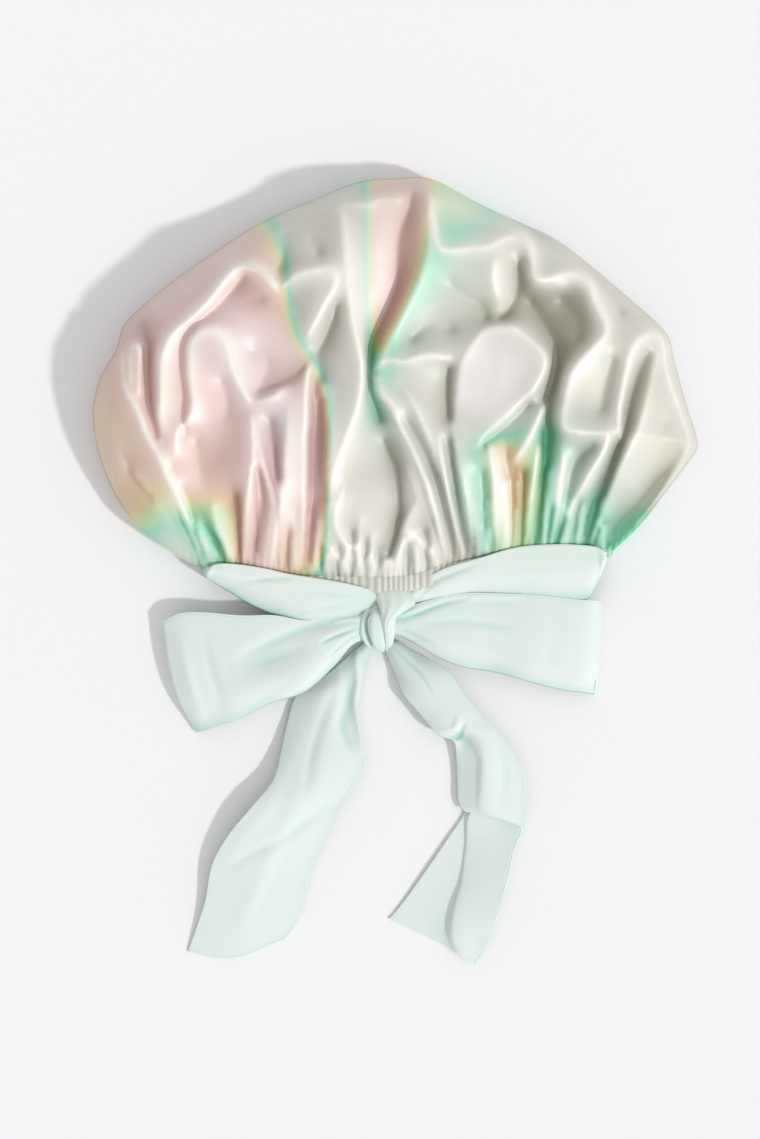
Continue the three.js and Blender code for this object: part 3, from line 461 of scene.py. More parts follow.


# %% [markdown]
# These are the ridges of the crown, traced: pixel across, pixel down, and millimetres above the
# plain dome. The first number of each fold says how sharp its crest is, from 0 for a round one to 1. On
# real satin a ridge forms wherever the gathers of the hem have too much cloth for the way to the next
# one.

# %% Ridges of the crown
FOLD_LEVEL_MM = 50
RIDGES = {
    "left outer": (1, [
        (162, 442, 4), (160, 417, 8), (161, 389, 9), (161, 362, 10), (166, 346, 10), (175, 332, 10),
        (190, 321, 10), (203, 310, 10), (214, 296, 10), (225, 280, 10), (234, 269, 10), (247, 266, 10),
        (261, 272, 9), (271, 282, 8), (278, 293, 5),
    ]),
    "grey patch": (1, [
        (284, 287, 6), (297, 276, 9), (313, 272, 10), (327, 270, 10), (335, 278, 10), (333, 290, 9),
        (321, 313, 7), (308, 336, 4),
    ]),
    "left inner": (1, [
        (175, 455, 4), (179, 433, 7), (190, 417, 8), (193, 403, 8), (190, 381, 8), (188, 359, 9),
        (191, 343, 9), (200, 332, 10), (212, 329, 10), (223, 336, 9), (229, 351, 8), (234, 373, 7),
        (244, 392, 6), (250, 402, 5),
    ]),
    "narrow left": (0.8, [
        (140, 392, 5), (140, 356, 6), (137, 346, 7), (131, 347, 7), (129, 362, 7), (131, 385, 6),
    ]),
    "left sweep": (0.8, [
        (119, 350, 5), (121, 362, 6), (125, 389, 7), (138, 411, 7), (148, 436, 7), (161, 461, 7),
        (171, 485, 6), (190, 524, 5), (198, 551, 3),
    ]),
    "left cheek": (0.4, [(112, 440, 1), (122, 462, 2), (148, 494, 3), (176, 528, 2)]),
    "left gather": (0.9, [(170, 466, 3), (181, 499, 5), (192, 524, 4), (207, 562, 2)]),
    "tick": (0.9, [(256, 403, 4), (272, 398, 6), (284, 389, 5)]),
    "thin fold": (1, [(252, 417, 5), (254, 444, 6), (251, 477, 6), (245, 513, 5), (240, 562, 3)]),
    "second fold": (1, [(257, 430, 3), (263, 466, 5), (271, 499, 5), (269, 526, 4), (262, 565, 2)]),
    "pleat left": (0.5, [(289, 410, 5), (285, 458, 7), (281, 499, 7), (276, 526, 6), (269, 565, 3)]),
    "pleat edge": (0.9, [(308, 366, 4), (307, 389, 6), (306, 444, 5), (305, 499, 4), (301, 565, 2)]),
    "grey edge": (0.7, [(323, 386, 2), (330, 430, 5), (330, 480, 5), (328, 530, 4), (325, 566, 2)]),
    "grey long": (1, [
        (340, 206, 5), (343, 225, 7), (347, 280, 9), (351, 318, 9), (360, 350, 8), (364, 373, 7),
        (358, 405, 6), (343, 444, 6), (332, 474, 5), (330, 500, 3),
    ]),
    "top": (1, [(340, 205, 5), (354, 204, 6), (368, 205, 6), (379, 199, 5), (400, 199, 4)]),
    "hem shine": (0.9, [(345, 482, 2), (334, 518, 5), (343, 543, 4), (351, 560, 2)]),
    "lobe edge": (0.4, [
        (429, 192, 4), (430, 206, 8), (430, 239, 9), (422, 274, 10), (403, 315, 9), (387, 345, 8),
        (376, 371, 6),
    ]),
    "centre fold": (1, [(376, 370, 6), (384, 362, 7), (406, 362, 8), (425, 356, 8), (449, 359, 6)]),
    "long pleat": (1, [
        (375, 376, 6), (378, 392, 6), (392, 409, 7), (406, 439, 7), (419, 466, 7), (433, 499, 6),
        (447, 562, 3),
    ]),
    "short pleat": (0.8, [(402, 385, 4), (415, 408, 6), (422, 425, 6), (431, 446, 5), (438, 470, 3)]),
    "third pleat": (0.8, [(438, 433, 4), (444, 472, 6), (452, 510, 5), (466, 559, 2)]),
    "petal root": (0.9, [(452, 428, 4), (459, 466, 5), (469, 513, 5), (477, 554, 2)]),
    "swirl": (0.8, [(408, 466, 3), (413, 485, 4), (417, 500, 4), (404, 527, 4), (400, 550, 2)]),
    "arch one": (1, [(323, 573, 3), (324, 560, 5), (331, 552, 6), (338, 558, 5), (340, 573, 3)]),
    "arch two": (1, [(345, 575, 3), (345, 558, 5), (351, 546, 6), (358, 554, 5), (357, 577, 3)]),
    "arch three": (1, [(363, 578, 3), (364, 565, 4), (369, 557, 5), (374, 565, 4), (373, 580, 3)]),
    "arch four": (1, [(380, 581, 3), (382, 568, 4), (387, 560, 5), (392, 568, 4), (391, 581, 3)]),
    "arch five": (1, [
        (398, 580, 3), (398, 558, 5), (404, 541, 6), (416, 538, 6), (429, 550, 6), (441, 567, 3),
    ]),
    "right top": (1, [
        (433, 214, 6), (435, 240, 9), (443, 252, 9), (463, 250, 9), (485, 248, 9), (499, 240, 10),
        (515, 234, 11), (525, 238, 11), (530, 252, 10), (531, 274, 9), (537, 281, 9), (548, 280, 9),
        (562, 274, 10), (576, 271, 10), (589, 275, 10), (591, 288, 10), (595, 304, 10), (604, 320, 10),
        (605, 332, 10), (598, 343, 10), (581, 359, 9), (568, 376, 9), (563, 400, 8), (560, 422, 8),
        (567, 431, 8), (587, 433, 8), (604, 433, 8), (606, 438, 8), (602, 452, 7), (587, 477, 6),
        (573, 505, 4), (566, 530, 2),
    ]),
    "hump": (0.3, [(497, 300, 0), (493, 280, 5), (494, 262, 8)]),
    "petal": (0.45, [
        (455, 424, 4), (455, 403, 5), (456, 389, 6), (460, 368, 7), (469, 350, 8), (480, 335, 8),
        (491, 329, 8), (510, 328, 8), (521, 335, 7), (535, 346, 6), (545, 357, 6), (545, 370, 5),
        (535, 387, 5), (524, 400, 4), (507, 417, 4), (488, 433, 3), (474, 446, 3), (461, 428, 4),
        (455, 424, 4),
    ]),
    "leaf": (1, [(543, 408, 6), (535, 425, 6), (524, 444, 6), (515, 459, 5)]),
    "peach fold": (1, [(488, 442, 5), (491, 466, 6), (495, 510, 5), (499, 554, 2)]),
    "green fold": (1, [(538, 446, 5), (536, 460, 6), (530, 500, 5), (527, 544, 2)]),
    "teal fold": (0.8, [(562, 446, 3), (562, 466, 5), (558, 500, 5), (553, 544, 2)]),
    "right side": (1, [
        (664, 336, 6), (655, 332, 8), (644, 335, 8), (633, 346, 8), (626, 370, 7), (620, 400, 7),
        (618, 417, 6), (621, 438, 5),
    ]),
    "right panel": (0.5, [
        (660, 350, 5), (655, 364, 6), (646, 400, 7), (636, 430, 6), (628, 445, 6), (611, 490, 5),
        (594, 546, 2),
    ]),
    "rim right": (1, [
        (665, 340, 6), (668, 368, 6), (675, 392, 6), (685, 417, 5), (691, 439, 4), (687, 458, 3),
        (674, 480, 4), (660, 499, 3), (640, 522, 2),
    ]),
}
print(len(RIDGES), "ridges")

# %% [markdown]
# The hollows are traced in the same way, with negative heights where they lie below the dome. A stroke
# with a sharpness of 0 is no crease: it only holds the skin at its height, so that a facet stays flat.

# %% Hollows of the crown
VALLEYS = {
    "left dark": (0.3, [
        (140, 322, -1), (145, 340, -1), (146, 362, -2), (147, 389, -2), (152, 417, -2), (158, 436, -1),
    ]),
    "between loops": (0.5, [
        (183, 440, 2), (184, 400, 1), (182, 360, 1), (188, 335, 2), (210, 312, 1), (232, 290, 0),
        (244, 276, 2),
    ]),
    "right of left outer": (0, [(262, 300, 0), (248, 300, 0)]),
    "pink facet": (0, [(250, 350, -2), (268, 360, -3), (262, 384, -2)]),
    "crease under facet": (0.6, [(254, 392, -1), (280, 383, -2), (306, 368, -1)]),
    "inside inner": (0, [(222, 380, 2), (228, 400, 1), (226, 420, 1)]),
    "pink low": (0, [(196, 440, -1), (200, 470, -1), (208, 500, 0)]),
    "pink rise": (0, [(232, 440, 3), (236, 470, 3)]),
    "beside thin fold": (0.8, [(258, 470, 0), (262, 500, -1), (256, 532, -1), (249, 563, -1)]),
    "mauve": (0.3, [(270, 420, -1), (274, 450, -1), (279, 480, -1)]),
    "beside pleat": (1, [(313, 374, -2), (313, 400, -3), (312, 444, -4), (311, 499, -3), (307, 562, -2)]),
    "mauve level": (0, [(322, 400, -3), (322, 440, -3), (320, 500, -2)]),
    "patch inside": (0, [(290, 300, 3), (300, 318, 3)]),
    "pink grey": (0.3, [(285, 230, -2), (283, 255, -2), (281, 275, -1)]),
    "grey valley": (0.3, [(337, 306, -2), (326, 336, -4), (318, 356, -4), (323, 380, -3)]),
    "grey upper": (0, [(310, 235, 0), (320, 255, 0)]),
    "central": (0.5, [
        (413, 190, -1), (411, 206, -2), (400, 233, -3), (397, 262, -4), (397, 284, -4), (381, 321, -5),
        (371, 345, -6), (369, 375, -6), (372, 395, -6), (380, 420, -5),
    ]),
    "pink face": (0, [(376, 240, 3), (378, 280, 2), (366, 320, 2)]),
    "big dark": (1, [
        (384, 440, -3), (392, 460, -4), (397, 472, -4), (399, 513, -4), (396, 535, -4), (388, 557, -3),
    ]),
    "mint basin": (0, [(450, 285, 1), (470, 300, -2), (482, 306, -4), (486, 318, -4)]),
    "right of lobe": (0, [(410, 340, 0), (430, 325, 0), (452, 330, -2)]),
    "hump shade": (0.3, [(519, 258, 1), (519, 285, -4), (511, 308, -6), (500, 318, -5)]),
    "hollow": (0, [(530, 300, -7), (545, 325, -9), (556, 350, -9), (552, 385, -8), (545, 402, -7)]),
    "hollow slope": (0, [(562, 300, -3), (578, 320, 0), (578, 340, 0)]),
    "petal inside": (0, [(500, 350, 6), (500, 375, 5), (490, 400, 4), (472, 410, 4)]),
    "petal left": (1, [(449, 368, -2), (448, 390, -2), (448, 418, -2)]),
    "petal below": (0.6, [(484, 446, -2), (498, 432, -3), (516, 416, -3), (530, 402, -4)]),
    "notch": (0.8, [(505, 440, -1), (508, 470, -2), (513, 510, -2), (514, 548, -1)]),
    "outside right top": (0, [(520, 214, -1), (560, 250, -2), (602, 282, -2), (624, 312, -3)]),
    "right lit facet": (0, [(612, 360, 1), (606, 385, 0), (600, 410, 0)]),
    "right dark": (0.8, [
        (648, 350, 0), (636, 378, -2), (628, 404, -3), (624, 430, -4), (612, 463, -4), (598, 505, -4),
        (588, 545, -2),
    ]),
    "right panel fall": (0, [(666, 420, 2), (658, 450, 1), (640, 480, 0)]),
    "right seam": (0.6, [(682, 450, -1), (668, 472, -2), (650, 496, -3), (630, 522, -3), (616, 543, -2)]),
    "long dark": (0.8, [(404, 420, 0), (420, 446, -1), (430, 468, -2), (440, 505, -2), (455, 557, -1)]),
    "short dark": (0.5, [(446, 440, -1), (451, 475, -2), (460, 520, -2), (471, 556, -1)]),
    "third dark": (0.6, [(482, 470, -2), (486, 510, -2), (490, 553, -1)]),
    "dark strip": (1, [(546, 408, -6), (546, 430, -5), (545, 464, -4), (541, 506, -3), (540, 545, -2)]),
    "fold foot": (0.3, [(592, 446, 1), (580, 455, -1), (570, 475, -2), (568, 505, -2)]),
    "right gathers": (0.6, [(579, 500, -2), (575, 546, -1)]),
    "mint dark": (1, [(181, 490, 0), (190, 520, -2), (202, 563, -2)]),
    "mint dark two": (1, [(196, 500, 0), (206, 526, -2), (217, 544, -3), (223, 562, -2)]),
    "tan block": (0.6, [(234, 494, -2), (238, 530, -3), (236, 562, -2)]),
    "cheek dark": (0.6, [(118, 452, 0), (132, 476, -1), (152, 500, 0)]),
}
print(len(VALLEYS), "hollows")

# %% [markdown]
# Between the long folds the cloth is pushed together into short gathers. They start where the folds end
# and run down into the casing. They are strokes too, small ridges and dips side by side, and they get
# stronger toward the hem.

# %% Gathers at the hem
GATHER_RISE_MM = 4
GATHERS = [
    [(212, 506), (216, 530), (229, 563)],
    [(294, 510), (291, 567)],
    [(318, 520), (314, 572)],
    [(324, 540), (323, 575)],
    [(360, 520), (358, 578)],
    [(372, 536), (369, 580)],
    [(412, 530), (420, 575)],
    [(430, 520), (436, 568)],
    [(487, 500), (489, 553)],
    [(508, 480), (508, 550)],
    [(518, 480), (518, 547)],
    [(548, 470), (546, 545)],
    [(570, 500), (565, 545)],
    [(583, 505), (580, 547)],
    [(604, 500), (602, 549)],
]
GATHER_DIPS = [
    [(288, 530), (285, 568)],
    [(319, 545), (319, 575)],
    [(338, 545), (337, 577)],
    [(352, 530), (352, 579)],
    [(365, 540), (364, 580)],
    [(378, 545), (378, 581)],
    [(406, 540), (410, 580)],
    [(424, 530), (429, 572)],
    [(523, 470), (523, 545)],
    [(553, 505), (549, 545)],
    [(567, 515), (559, 545)],
    [(604, 520), (596, 548)],
]
print(len(GATHERS), "gathers and", len(GATHER_DIPS), "dips")

# %% [markdown]
# Now the skin is stretched over all the strokes at once. The blur is small, because satin is thin and
# turns over a ridge in a millimetre or two.

# %% Relief of the crown
SKIN_PULL = 22 * MM
FOLD_RADIUS = 1.4 * MM
GATHER_START = 0.55

strokes = [line for _, line in (*RIDGES.values(), *VALLEYS.values())]
for rise, lines in ((GATHER_RISE_MM, GATHERS), (-GATHER_RISE_MM, GATHER_DIPS)):
    for line in lines:
        rises = np.linspace(GATHER_START, 1, len(line)) * rise
        strokes.append([(x, y, r) for (x, y), r in zip(line, rises)])
relief = blur(stretch_skin(strokes, SKIN_PULL, FOLD_LEVEL_MM) * MM, FOLD_RADIUS)

# %% [markdown]
# Satin is pinched where it folds, so a ridge ends in a thin crest and a deep hollow in a thin crease.
# Each is a fine line drawn along its stroke and blurred a little. It changes the height of the cloth by
# less than a millimetre, and it is also painted: a narrow painted highlight on each crest and a narrow
# painted shade in each crease and along the pleats. The same lines, blurred more, are a soft painted
# highlight beside a crest. Line and glow together are kept as one number of painted light for each
# place, and colour the satin later.

# %% Crests and creases, with painted highlight and shade
FULL_CREST_MM = 7
GATHER_CREST = 0.5
CREST_RADIUS = 0.85 * MM
CREST_RISE = 1.0 * MM
GLOW_RADIUS = 4.0 * MM
CREST_SHARE = 0.5
# Lines of painted shade along the pleats, which also dent them a little: pixel across, pixel down, strength
PLEAT_SHADE_LINES = [
    [(176, 508, 0.3), (180, 520, 0.9), (190, 544, 1), (196, 566, 1)],
    [(201, 522, 0.3), (212, 544, 0.9), (222, 566, 1)],
    [(236, 496, 0.6), (238, 530, 0.9), (237, 566, 1)],
    [(256, 462, 0.3), (257, 500, 0.7), (255, 552, 0.9)],
    [(263, 444, 0.3), (270, 475, 0.7), (278, 507, 0.9), (276, 566, 1)],
    [(309, 390, 0.5), (308, 480, 0.8), (302, 570, 1)],
    [(327, 420, 0.2), (325, 500, 0.5), (321, 572, 0.7)],
    [(392, 419, 0.4), (411, 453, 0.7), (427, 503, 0.8), (446, 562, 0.8)],
    [(433, 462, 0.3), (447, 500, 0.7), (456, 558, 0.8)],
    [(452, 431, 0.5), (453, 462, 0.7), (461, 525, 0.9), (470, 556, 0.9)],
    [(458, 450, 0.2), (470, 509, 0.6), (478, 554, 0.8)],
    [(489, 472, 0.4), (491, 519, 0.8), (498, 548, 1)],
    [(516, 466, 0.4), (518, 503, 0.7), (519, 546, 0.9)],
    [(544, 431, 0.8), (542, 494, 1), (539, 544, 1)],
    [(567, 488, 0.3), (561, 509, 0.6), (559, 544, 0.7)],
    [(620, 444, 0.7), (605, 487, 1), (590, 516, 1), (589, 546, 1)],
    [(672, 470, 0.2), (654, 500, 0.8), (645, 512, 1), (627, 528, 1), (612, 546, 1)],
    [(387, 560, 0.8), (392, 545, 0.9), (398, 520, 1), (399, 490, 0.9), (394, 465, 0.4)],
]

crest_lines = np.zeros(relief.shape)
for sign, folds in ((1, RIDGES), (-1, VALLEYS)):
    for weight, line in folds.values():
        crossed, level = draw_strokes([line], FOLD_LEVEL_MM)
        share = np.clip(np.abs(level) / FULL_CREST_MM, 0, 1)
        crest_lines = np.where(crossed, sign * weight * share, crest_lines)
crossed, strength = draw_strokes(PLEAT_SHADE_LINES, FOLD_LEVEL_MM)
crest_lines = np.where(crossed, -strength, crest_lines)
for sign, lines in ((1, GATHERS), (-1, GATHER_DIPS)):
    marked = [[(x, y, GATHER_CREST) for x, y in line] for line in lines]
    crossed, strength = draw_strokes(marked, FOLD_LEVEL_MM)
    crest_lines = np.where(crossed & (crest_lines == 0), sign * strength, crest_lines)
# Painted highlight on crests and painted shade in creases; the same lines also raise and dent the relief a
# little
crest = blur(crest_lines, CREST_RADIUS)
relief = relief + CREST_RISE * crest
glow = blur(crest_lines, GLOW_RADIUS)
crest = CREST_SHARE * crest / crest.max() + (1 - CREST_SHARE) * glow / glow.max()
print("relief", relief.min().round(4), "to", relief.max().round(4))

# %% [markdown]
# Satin mirrors the room softly. A facet that faces the bright side of the room looks paler than its slope
# explains, and one that faces the dark side looks deeper. A plain pale world has no such sides, so this
# reflection is painted on the cloth: strokes of painted light, from 1 for a painted highlight to -1 for
# painted shade, with a skin stretched between them.

# %% Painted highlight and shade of the facets
PAINTED_LIGHT_STROKES = [
    [(134, 318, -0.3), (146, 345, -0.5), (149, 380, -0.4), (156, 420, -0.2)],
    [(104, 400, 0.0), (107, 445, 0.1), (118, 478, -0.1), (136, 505, -0.4), (150, 516, -0.2)],
    [(160, 306, 0.15), (195, 276, 0.2), (230, 252, 0.2)],
    [(275, 232, 0.25), (310, 216, 0.25), (345, 203, 0.2)],
    [(440, 196, 0.45), (470, 212, 0.45), (505, 226, 0.3)],
    [(572, 262, 0.2), (604, 290, 0.2), (640, 326, 0.15)],
    [(170, 345, 0.2), (170, 390, 0.25), (172, 425, 0.1)],
    [(210, 350, 0.0), (207, 400, 0.0), (200, 450, 0.05), (192, 490, 0.0)],
    [(236, 283, -0.35), (247, 297, -0.45), (262, 310, -0.2)],
    [(236, 340, 0.35), (242, 365, 0.35), (252, 385, 0.1)],
    [(262, 340, 0.15), (282, 350, 0.1)],
    [(258, 390, -0.35), (282, 378, -0.4), (304, 368, -0.3)],
    [(250, 412, -0.3), (234, 440, -0.4), (216, 466, -0.4), (207, 484, -0.2)],
    [(268, 420, -0.35), (276, 445, -0.45), (280, 480, -0.2)],
    [(238, 494, -0.5), (237, 525, -0.5), (236, 560, -0.4)],
    [(296, 400, 0.3), (292, 460, 0.5), (286, 520, 0.5), (280, 556, 0.3)],
    [(317, 390, -0.3), (318, 430, -0.35), (317, 500, -0.3), (313, 560, -0.3)],
    [(296, 298, -0.35), (312, 292, -0.3), (303, 322, -0.35)],
    [(333, 305, -0.3), (327, 335, -0.5), (322, 360, -0.4)],
    [(344, 300, 0.15), (350, 340, 0.2), (346, 380, 0.1)],
    [(310, 235, -0.05), (325, 250, 0.0)],
    [(352, 225, 0.2), (354, 275, 0.35), (360, 320, 0.2)],
    [(392, 190, -0.1), (410, 190, -0.1)],
    [(388, 215, 0.35), (390, 244, 0.5), (385, 290, 0.6), (376, 322, 0.2)],
    [(413, 215, -0.3), (405, 244, -0.4), (402, 280, -0.4), (390, 320, -0.6), (380, 350, -0.6),
     (373, 375, -0.4)],
    [(366, 420, -0.15), (370, 470, -0.25), (372, 540, -0.2)],
    [(391, 450, -0.3), (396, 520, -0.35)],
    [(350, 440, -0.15), (350, 520, -0.2)],
    [(341, 425, -0.1), (333, 480, 0.4), (334, 505, 0.3)],
    [(458, 270, -0.1), (458, 300, -0.1)],
    [(478, 306, -0.35), (496, 314, -0.4), (478, 322, -0.3)],
    [(499, 265, 0.35), (498, 290, 0.25)],
    [(519, 262, -0.3), (521, 285, -0.6), (530, 302, -0.8)],
    [(545, 298, -0.7), (562, 296, -0.75), (583, 293, -0.7), (588, 314, -0.6)],
    [(530, 318, -0.65), (548, 322, -0.75), (566, 320, -0.75), (580, 326, -0.65), (572, 346, -0.6)],
    [(556, 340, -0.7), (572, 335, -0.6), (556, 384, -0.65), (546, 405, -0.65)],
    [(585, 360, 0.3), (578, 372, 0.0), (574, 395, -0.05)],
    [(599, 394, -0.1), (608, 405, -0.15)],
    [(648, 362, -0.4), (636, 395, -0.45), (626, 420, -0.5), (614, 460, -0.45), (600, 500, -0.4)],
    [(661, 400, 0.0), (649, 447, 0.1), (630, 480, 0.15)],
    [(684, 452, -0.2), (664, 482, -0.8), (648, 502, -0.6), (632, 522, -1.0), (618, 540, -0.9)],
    [(640, 532, 0.3), (630, 544, 0.3)],
    [(588, 447, -0.4), (579, 462, -0.5), (574, 490, -0.4), (572, 520, -0.3)],
    [(564, 456, 0.3), (563, 480, 0.4), (559, 520, 0.3)],
    [(464, 350, 0.3), (489, 369, 0.3), (470, 400, 0.3), (528, 356, 0.2), (505, 395, 0.2)],
    [(476, 432, -0.25), (490, 432, -0.2)],
    [(506, 434, 0.3), (520, 420, 0.35), (538, 409, 0.3)],
    [(516, 402, -0.3), (530, 392, -0.3)],
    [(545, 425, -0.55), (543, 455, -0.55), (541, 500, -0.45), (540, 540, -0.4)],
    [(445, 368, -0.35), (446, 395, -0.45), (450, 425, -0.4)],
    [(427, 392, -0.1), (402, 369, -0.1), (430, 372, -0.2)],
    [(440, 275, -0.3), (436, 300, -0.35), (424, 318, -0.2)],
    [(425, 455, -0.2), (438, 490, -0.3), (448, 540, -0.2)],
    [(497, 450, 0.3), (502, 480, 0.45), (506, 530, 0.35)],
    [(516, 470, -0.3), (517, 545, -0.2)],
    [(417, 520, -0.3), (422, 545, -0.25)],
    [(403, 470, 0.1), (408, 500, 0.3)],
    [(183, 500, -0.3), (194, 530, -0.3)],
    [(208, 520, -0.3), (216, 545, -0.3)],
    [(166, 505, 0.4), (176, 528, 0.4), (190, 556, 0.5)],
    [(200, 530, 0.3), (212, 556, 0.35)],
    [(222, 520, 0.3), (229, 552, 0.4)],
]

PAINTED_LIGHT_PULL = 20 * MM
PAINTED_LIGHT_RADIUS = 2.6 * MM
painted_light = blur(stretch_skin(PAINTED_LIGHT_STROKES, PAINTED_LIGHT_PULL, FOLD_LEVEL_MM), PAINTED_LIGHT_RADIUS)
print(len(PAINTED_LIGHT_STROKES), "strokes of tone")

# %% [markdown]
# The strokes only cover what was worth tracing. The shape of the relief adds the rest of the painted light:
# cloth that stands out from what is around it gets a painted highlight, cloth in a hollow gets painted
# shade, and a slope that faces right, toward the light, gets a little painted highlight too, and one that
# faces left a little painted shade. This keeps the painted light in step with the folds everywhere.

# %% Painted light from the relief
CAVITY_RADIUS = 5 * MM
CAVITY_FULL = 2.6 * MM
CREST_HIGHLIGHT_GAIN = 0.5
HOLLOW_SHADE_GAIN = 0.24
FACING_LIGHT_GAIN = 0.3

standing_out = np.clip((relief - blur(relief, CAVITY_RADIUS)) / CAVITY_FULL, -1, 1)
facing_right = np.clip(-np.gradient(relief, FIELD_CELL, axis=1), -1, 1)
painted_light = painted_light + np.where(standing_out > 0, CREST_HIGHLIGHT_GAIN, HOLLOW_SHADE_GAIN) * standing_out
painted_light = painted_light + FACING_LIGHT_GAIN * facing_right
print("painted_light", painted_light.min().round(2), "to", painted_light.max().round(2))

# %% [markdown]
# Now the crown itself. It is drawn the way it is sewn: columns of cloth start at the front of the hem,
# run up over the dome to the fold at the outline, turn under, and come back along the table to the back
# of the hem. So front and back are one surface with a round fold. Near the fold the rows are close
# together, because the cloth turns quickly there.

# %% The crown's outline and dome
OUTLINE = [
    (203, 569), (169, 550), (132, 520), (104, 468), (94, 417), (101, 380), (117, 351), (124, 328),
    (136, 314), (165, 289), (198, 265), (258, 226), (310, 203), (358, 184), (400, 180), (432, 181),
    (480, 206), (524, 226), (552, 239), (581, 260), (624, 296), (664, 333), (673, 362), (684, 402),
    (695, 437), (695, 451), (681, 471), (661, 497), (638, 526), (610, 553),
]
CROWN_COLUMNS = 420
FRONT_ROWS = 180
BACK_ROWS = 44
DOME_HEIGHT = 51 * MM
FRONT_ROUND = 50 * MM
BACK_ROUND = 24 * MM
SHOULDER = 60 * MM
PUCKER_PITCH = 3.9 * MM
PUCKER_RISE = 0.8 * MM
PUCKER_REACH = 5 * MM
SATIN_THICK = 0.5 * MM
RIM_CLOSE = 0.12
RIM_SAMPLES = 900

outline_spots = flat_spots([(x, y, 0) for x, y in OUTLINE], part_z / MM)
rim = even(spline(outline_spots, RIM_SAMPLES), CROWN_COLUMNS + 1)


def rim_distance(x, y):
    """How far each place is from the crown's outline."""
    flat = np.column_stack([x.ravel(), y.ravel()])
    best = np.full(len(flat), np.inf)
    for a, b in zip(rim[:-1], rim[1:]):
        along = np.clip((flat - a) @ (b - a) / ((b - a) @ (b - a)), 0, 1)
        best = np.minimum(best, np.linalg.norm(flat - a - along[:, None] * (b - a), axis=1))
    return best.reshape(x.shape)


def puckers(along):
    """Gathers along the hem, from 0 to 1. Slow waves make their spacing and their size uneven."""
    turns = along / PUCKER_PITCH + 0.5 * np.sin(along / (13 * MM)) + 0.28 * np.sin(along / (5.3 * MM) + 1)
    size = 0.72 + 0.18 * np.sin(along / (7.1 * MM) + 2) + 0.1 * np.sin(along / (2.9 * MM))
    return size * (0.5 + 0.5 * np.cos(2 * math.pi * turns)) ** 1.3


def rim_rows(count):
    """Shares of the way from the fold to the hem, closest together at the fold."""
    r = np.linspace(0, 1, count + 1)
    return r**2 / (r + RIM_CLOSE) * (1 + RIM_CLOSE)


# %% [markdown]
# Each side is laid out between the outline and the hem, and then gets its height. The front swells up as
# a dome, carries the relief of the folds, and ends in small puckers at the casing. The folds fade out
# near the hem and near the outline, so that the edges keep their line. The back drops to the table behind
# the hem and lies flat there, with low wrinkles that the elastic pulls into it.

# %% Front and back of the crown
CROWN_TUCK = 1.4 * MM
FOLDS_FROM_HEM = 12 * MM
FOLDS_FROM_EDGE = 14 * MM
PUCKERS_FROM_EDGE = 6 * MM
LEAST_SWELL = 0.35
BACK_DROP_START = 20 * MM
BACK_DROP_REACH = 24 * MM
BACK_WRINKLE = 1.2 * MM
BACK_WRINKLE_REACH = 40 * MM
BACK_WRINKLE_EDGE = 20 * MM
TABLE_CLEARANCE = 0.1 * MM
crown_edge = CASING_WIDTH / 2 - CROWN_TUCK


def crown_side(up, rows):
    """x, y, distance to the outline, height of the hem and share of the way, from the fold to the hem."""
    x, z, _, _ = half_ring(CROWN_COLUMNS + 1, up)
    y = hem_y(x) + crown_edge
    share = rim_rows(rows)[:, None]
    gx = rim[None, :, 0] + (x - rim[:, 0])[None] * share
    gy = rim[None, :, 1] + (y - rim[:, 1])[None] * share
    return gx, gy, rim_distance(gx, gy), np.broadcast_to(z, gx.shape), share


def front_height(x, y, edge, hem_z, share):
    """The dome with its folds, low at the hem and at the outline."""
    from_hem = y - hem_y(x) - crown_edge
    round_share = np.sqrt(1 - (1 - np.clip(edge / FRONT_ROUND, 0, 1)) ** 2)
    full = part_z + (DOME_HEIGHT - part_z) * round_share
    shoulder = 1 - (1 - np.clip(from_hem / SHOULDER, 0, 1)) ** 2
    level = hem_z + (np.maximum(full, hem_z) - hem_z) * shoulder
    inside = smooth(from_hem / FOLDS_FROM_HEM) * smooth(edge / FOLDS_FROM_EDGE)
    gathers = puckers(x - mouth_x) * np.exp(-np.abs(from_hem) / PUCKER_REACH) * PUCKER_RISE
    z = level + read_field(relief, x, y) * inside + gathers * smooth(edge / PUCKERS_FROM_EDGE)
    z = np.maximum(z, hem_z + (level - hem_z) * LEAST_SWELL)
    return np.where(share <= 0, part_z, z)


def back_height(x, y, edge, hem_z, share):
    """Cloth that drops from the fold and from the hem, and lies on the table between them."""
    from_hem = y - hem_y(x) - crown_edge
    round_share = np.sqrt(1 - (1 - np.clip(edge / BACK_ROUND, 0, 1)) ** 2)
    drop = smooth((from_hem - BACK_DROP_START) / BACK_DROP_REACH)
    wrinkle = BACK_WRINKLE * puckers((x - mouth_x) / 2) * np.exp(-np.abs(from_hem) / BACK_WRINKLE_REACH)
    table = SATIN_THICK / 2 + TABLE_CLEARANCE
    level = np.maximum(part_z * (1 - round_share), hem_z * (1 - drop) + table * drop)
    z = level + wrinkle * smooth(edge / BACK_WRINKLE_EDGE)
    return np.where(share >= 1, hem_z, np.where(share <= 0, part_z, z))


fx, fy, f_edge, f_hem, f_share = crown_side(1, FRONT_ROWS)
bx, by, b_edge, b_hem, b_share = crown_side(-1, BACK_ROWS)
fz = front_height(fx, fy, f_edge, f_hem, f_share)
bz = back_height(bx, by, b_edge, b_hem, b_share)
front_grid = np.stack([fx, fy, fz], -1)[::-1]
back_grid = np.stack([bx, by, bz], -1)[1:]
crown_grid = np.concatenate([front_grid, back_grid])
crown_grid[:, [0, -1], 2] = part_z
print("crown grid", crown_grid.shape, "highest", crown_grid[..., 2].max().round(4))

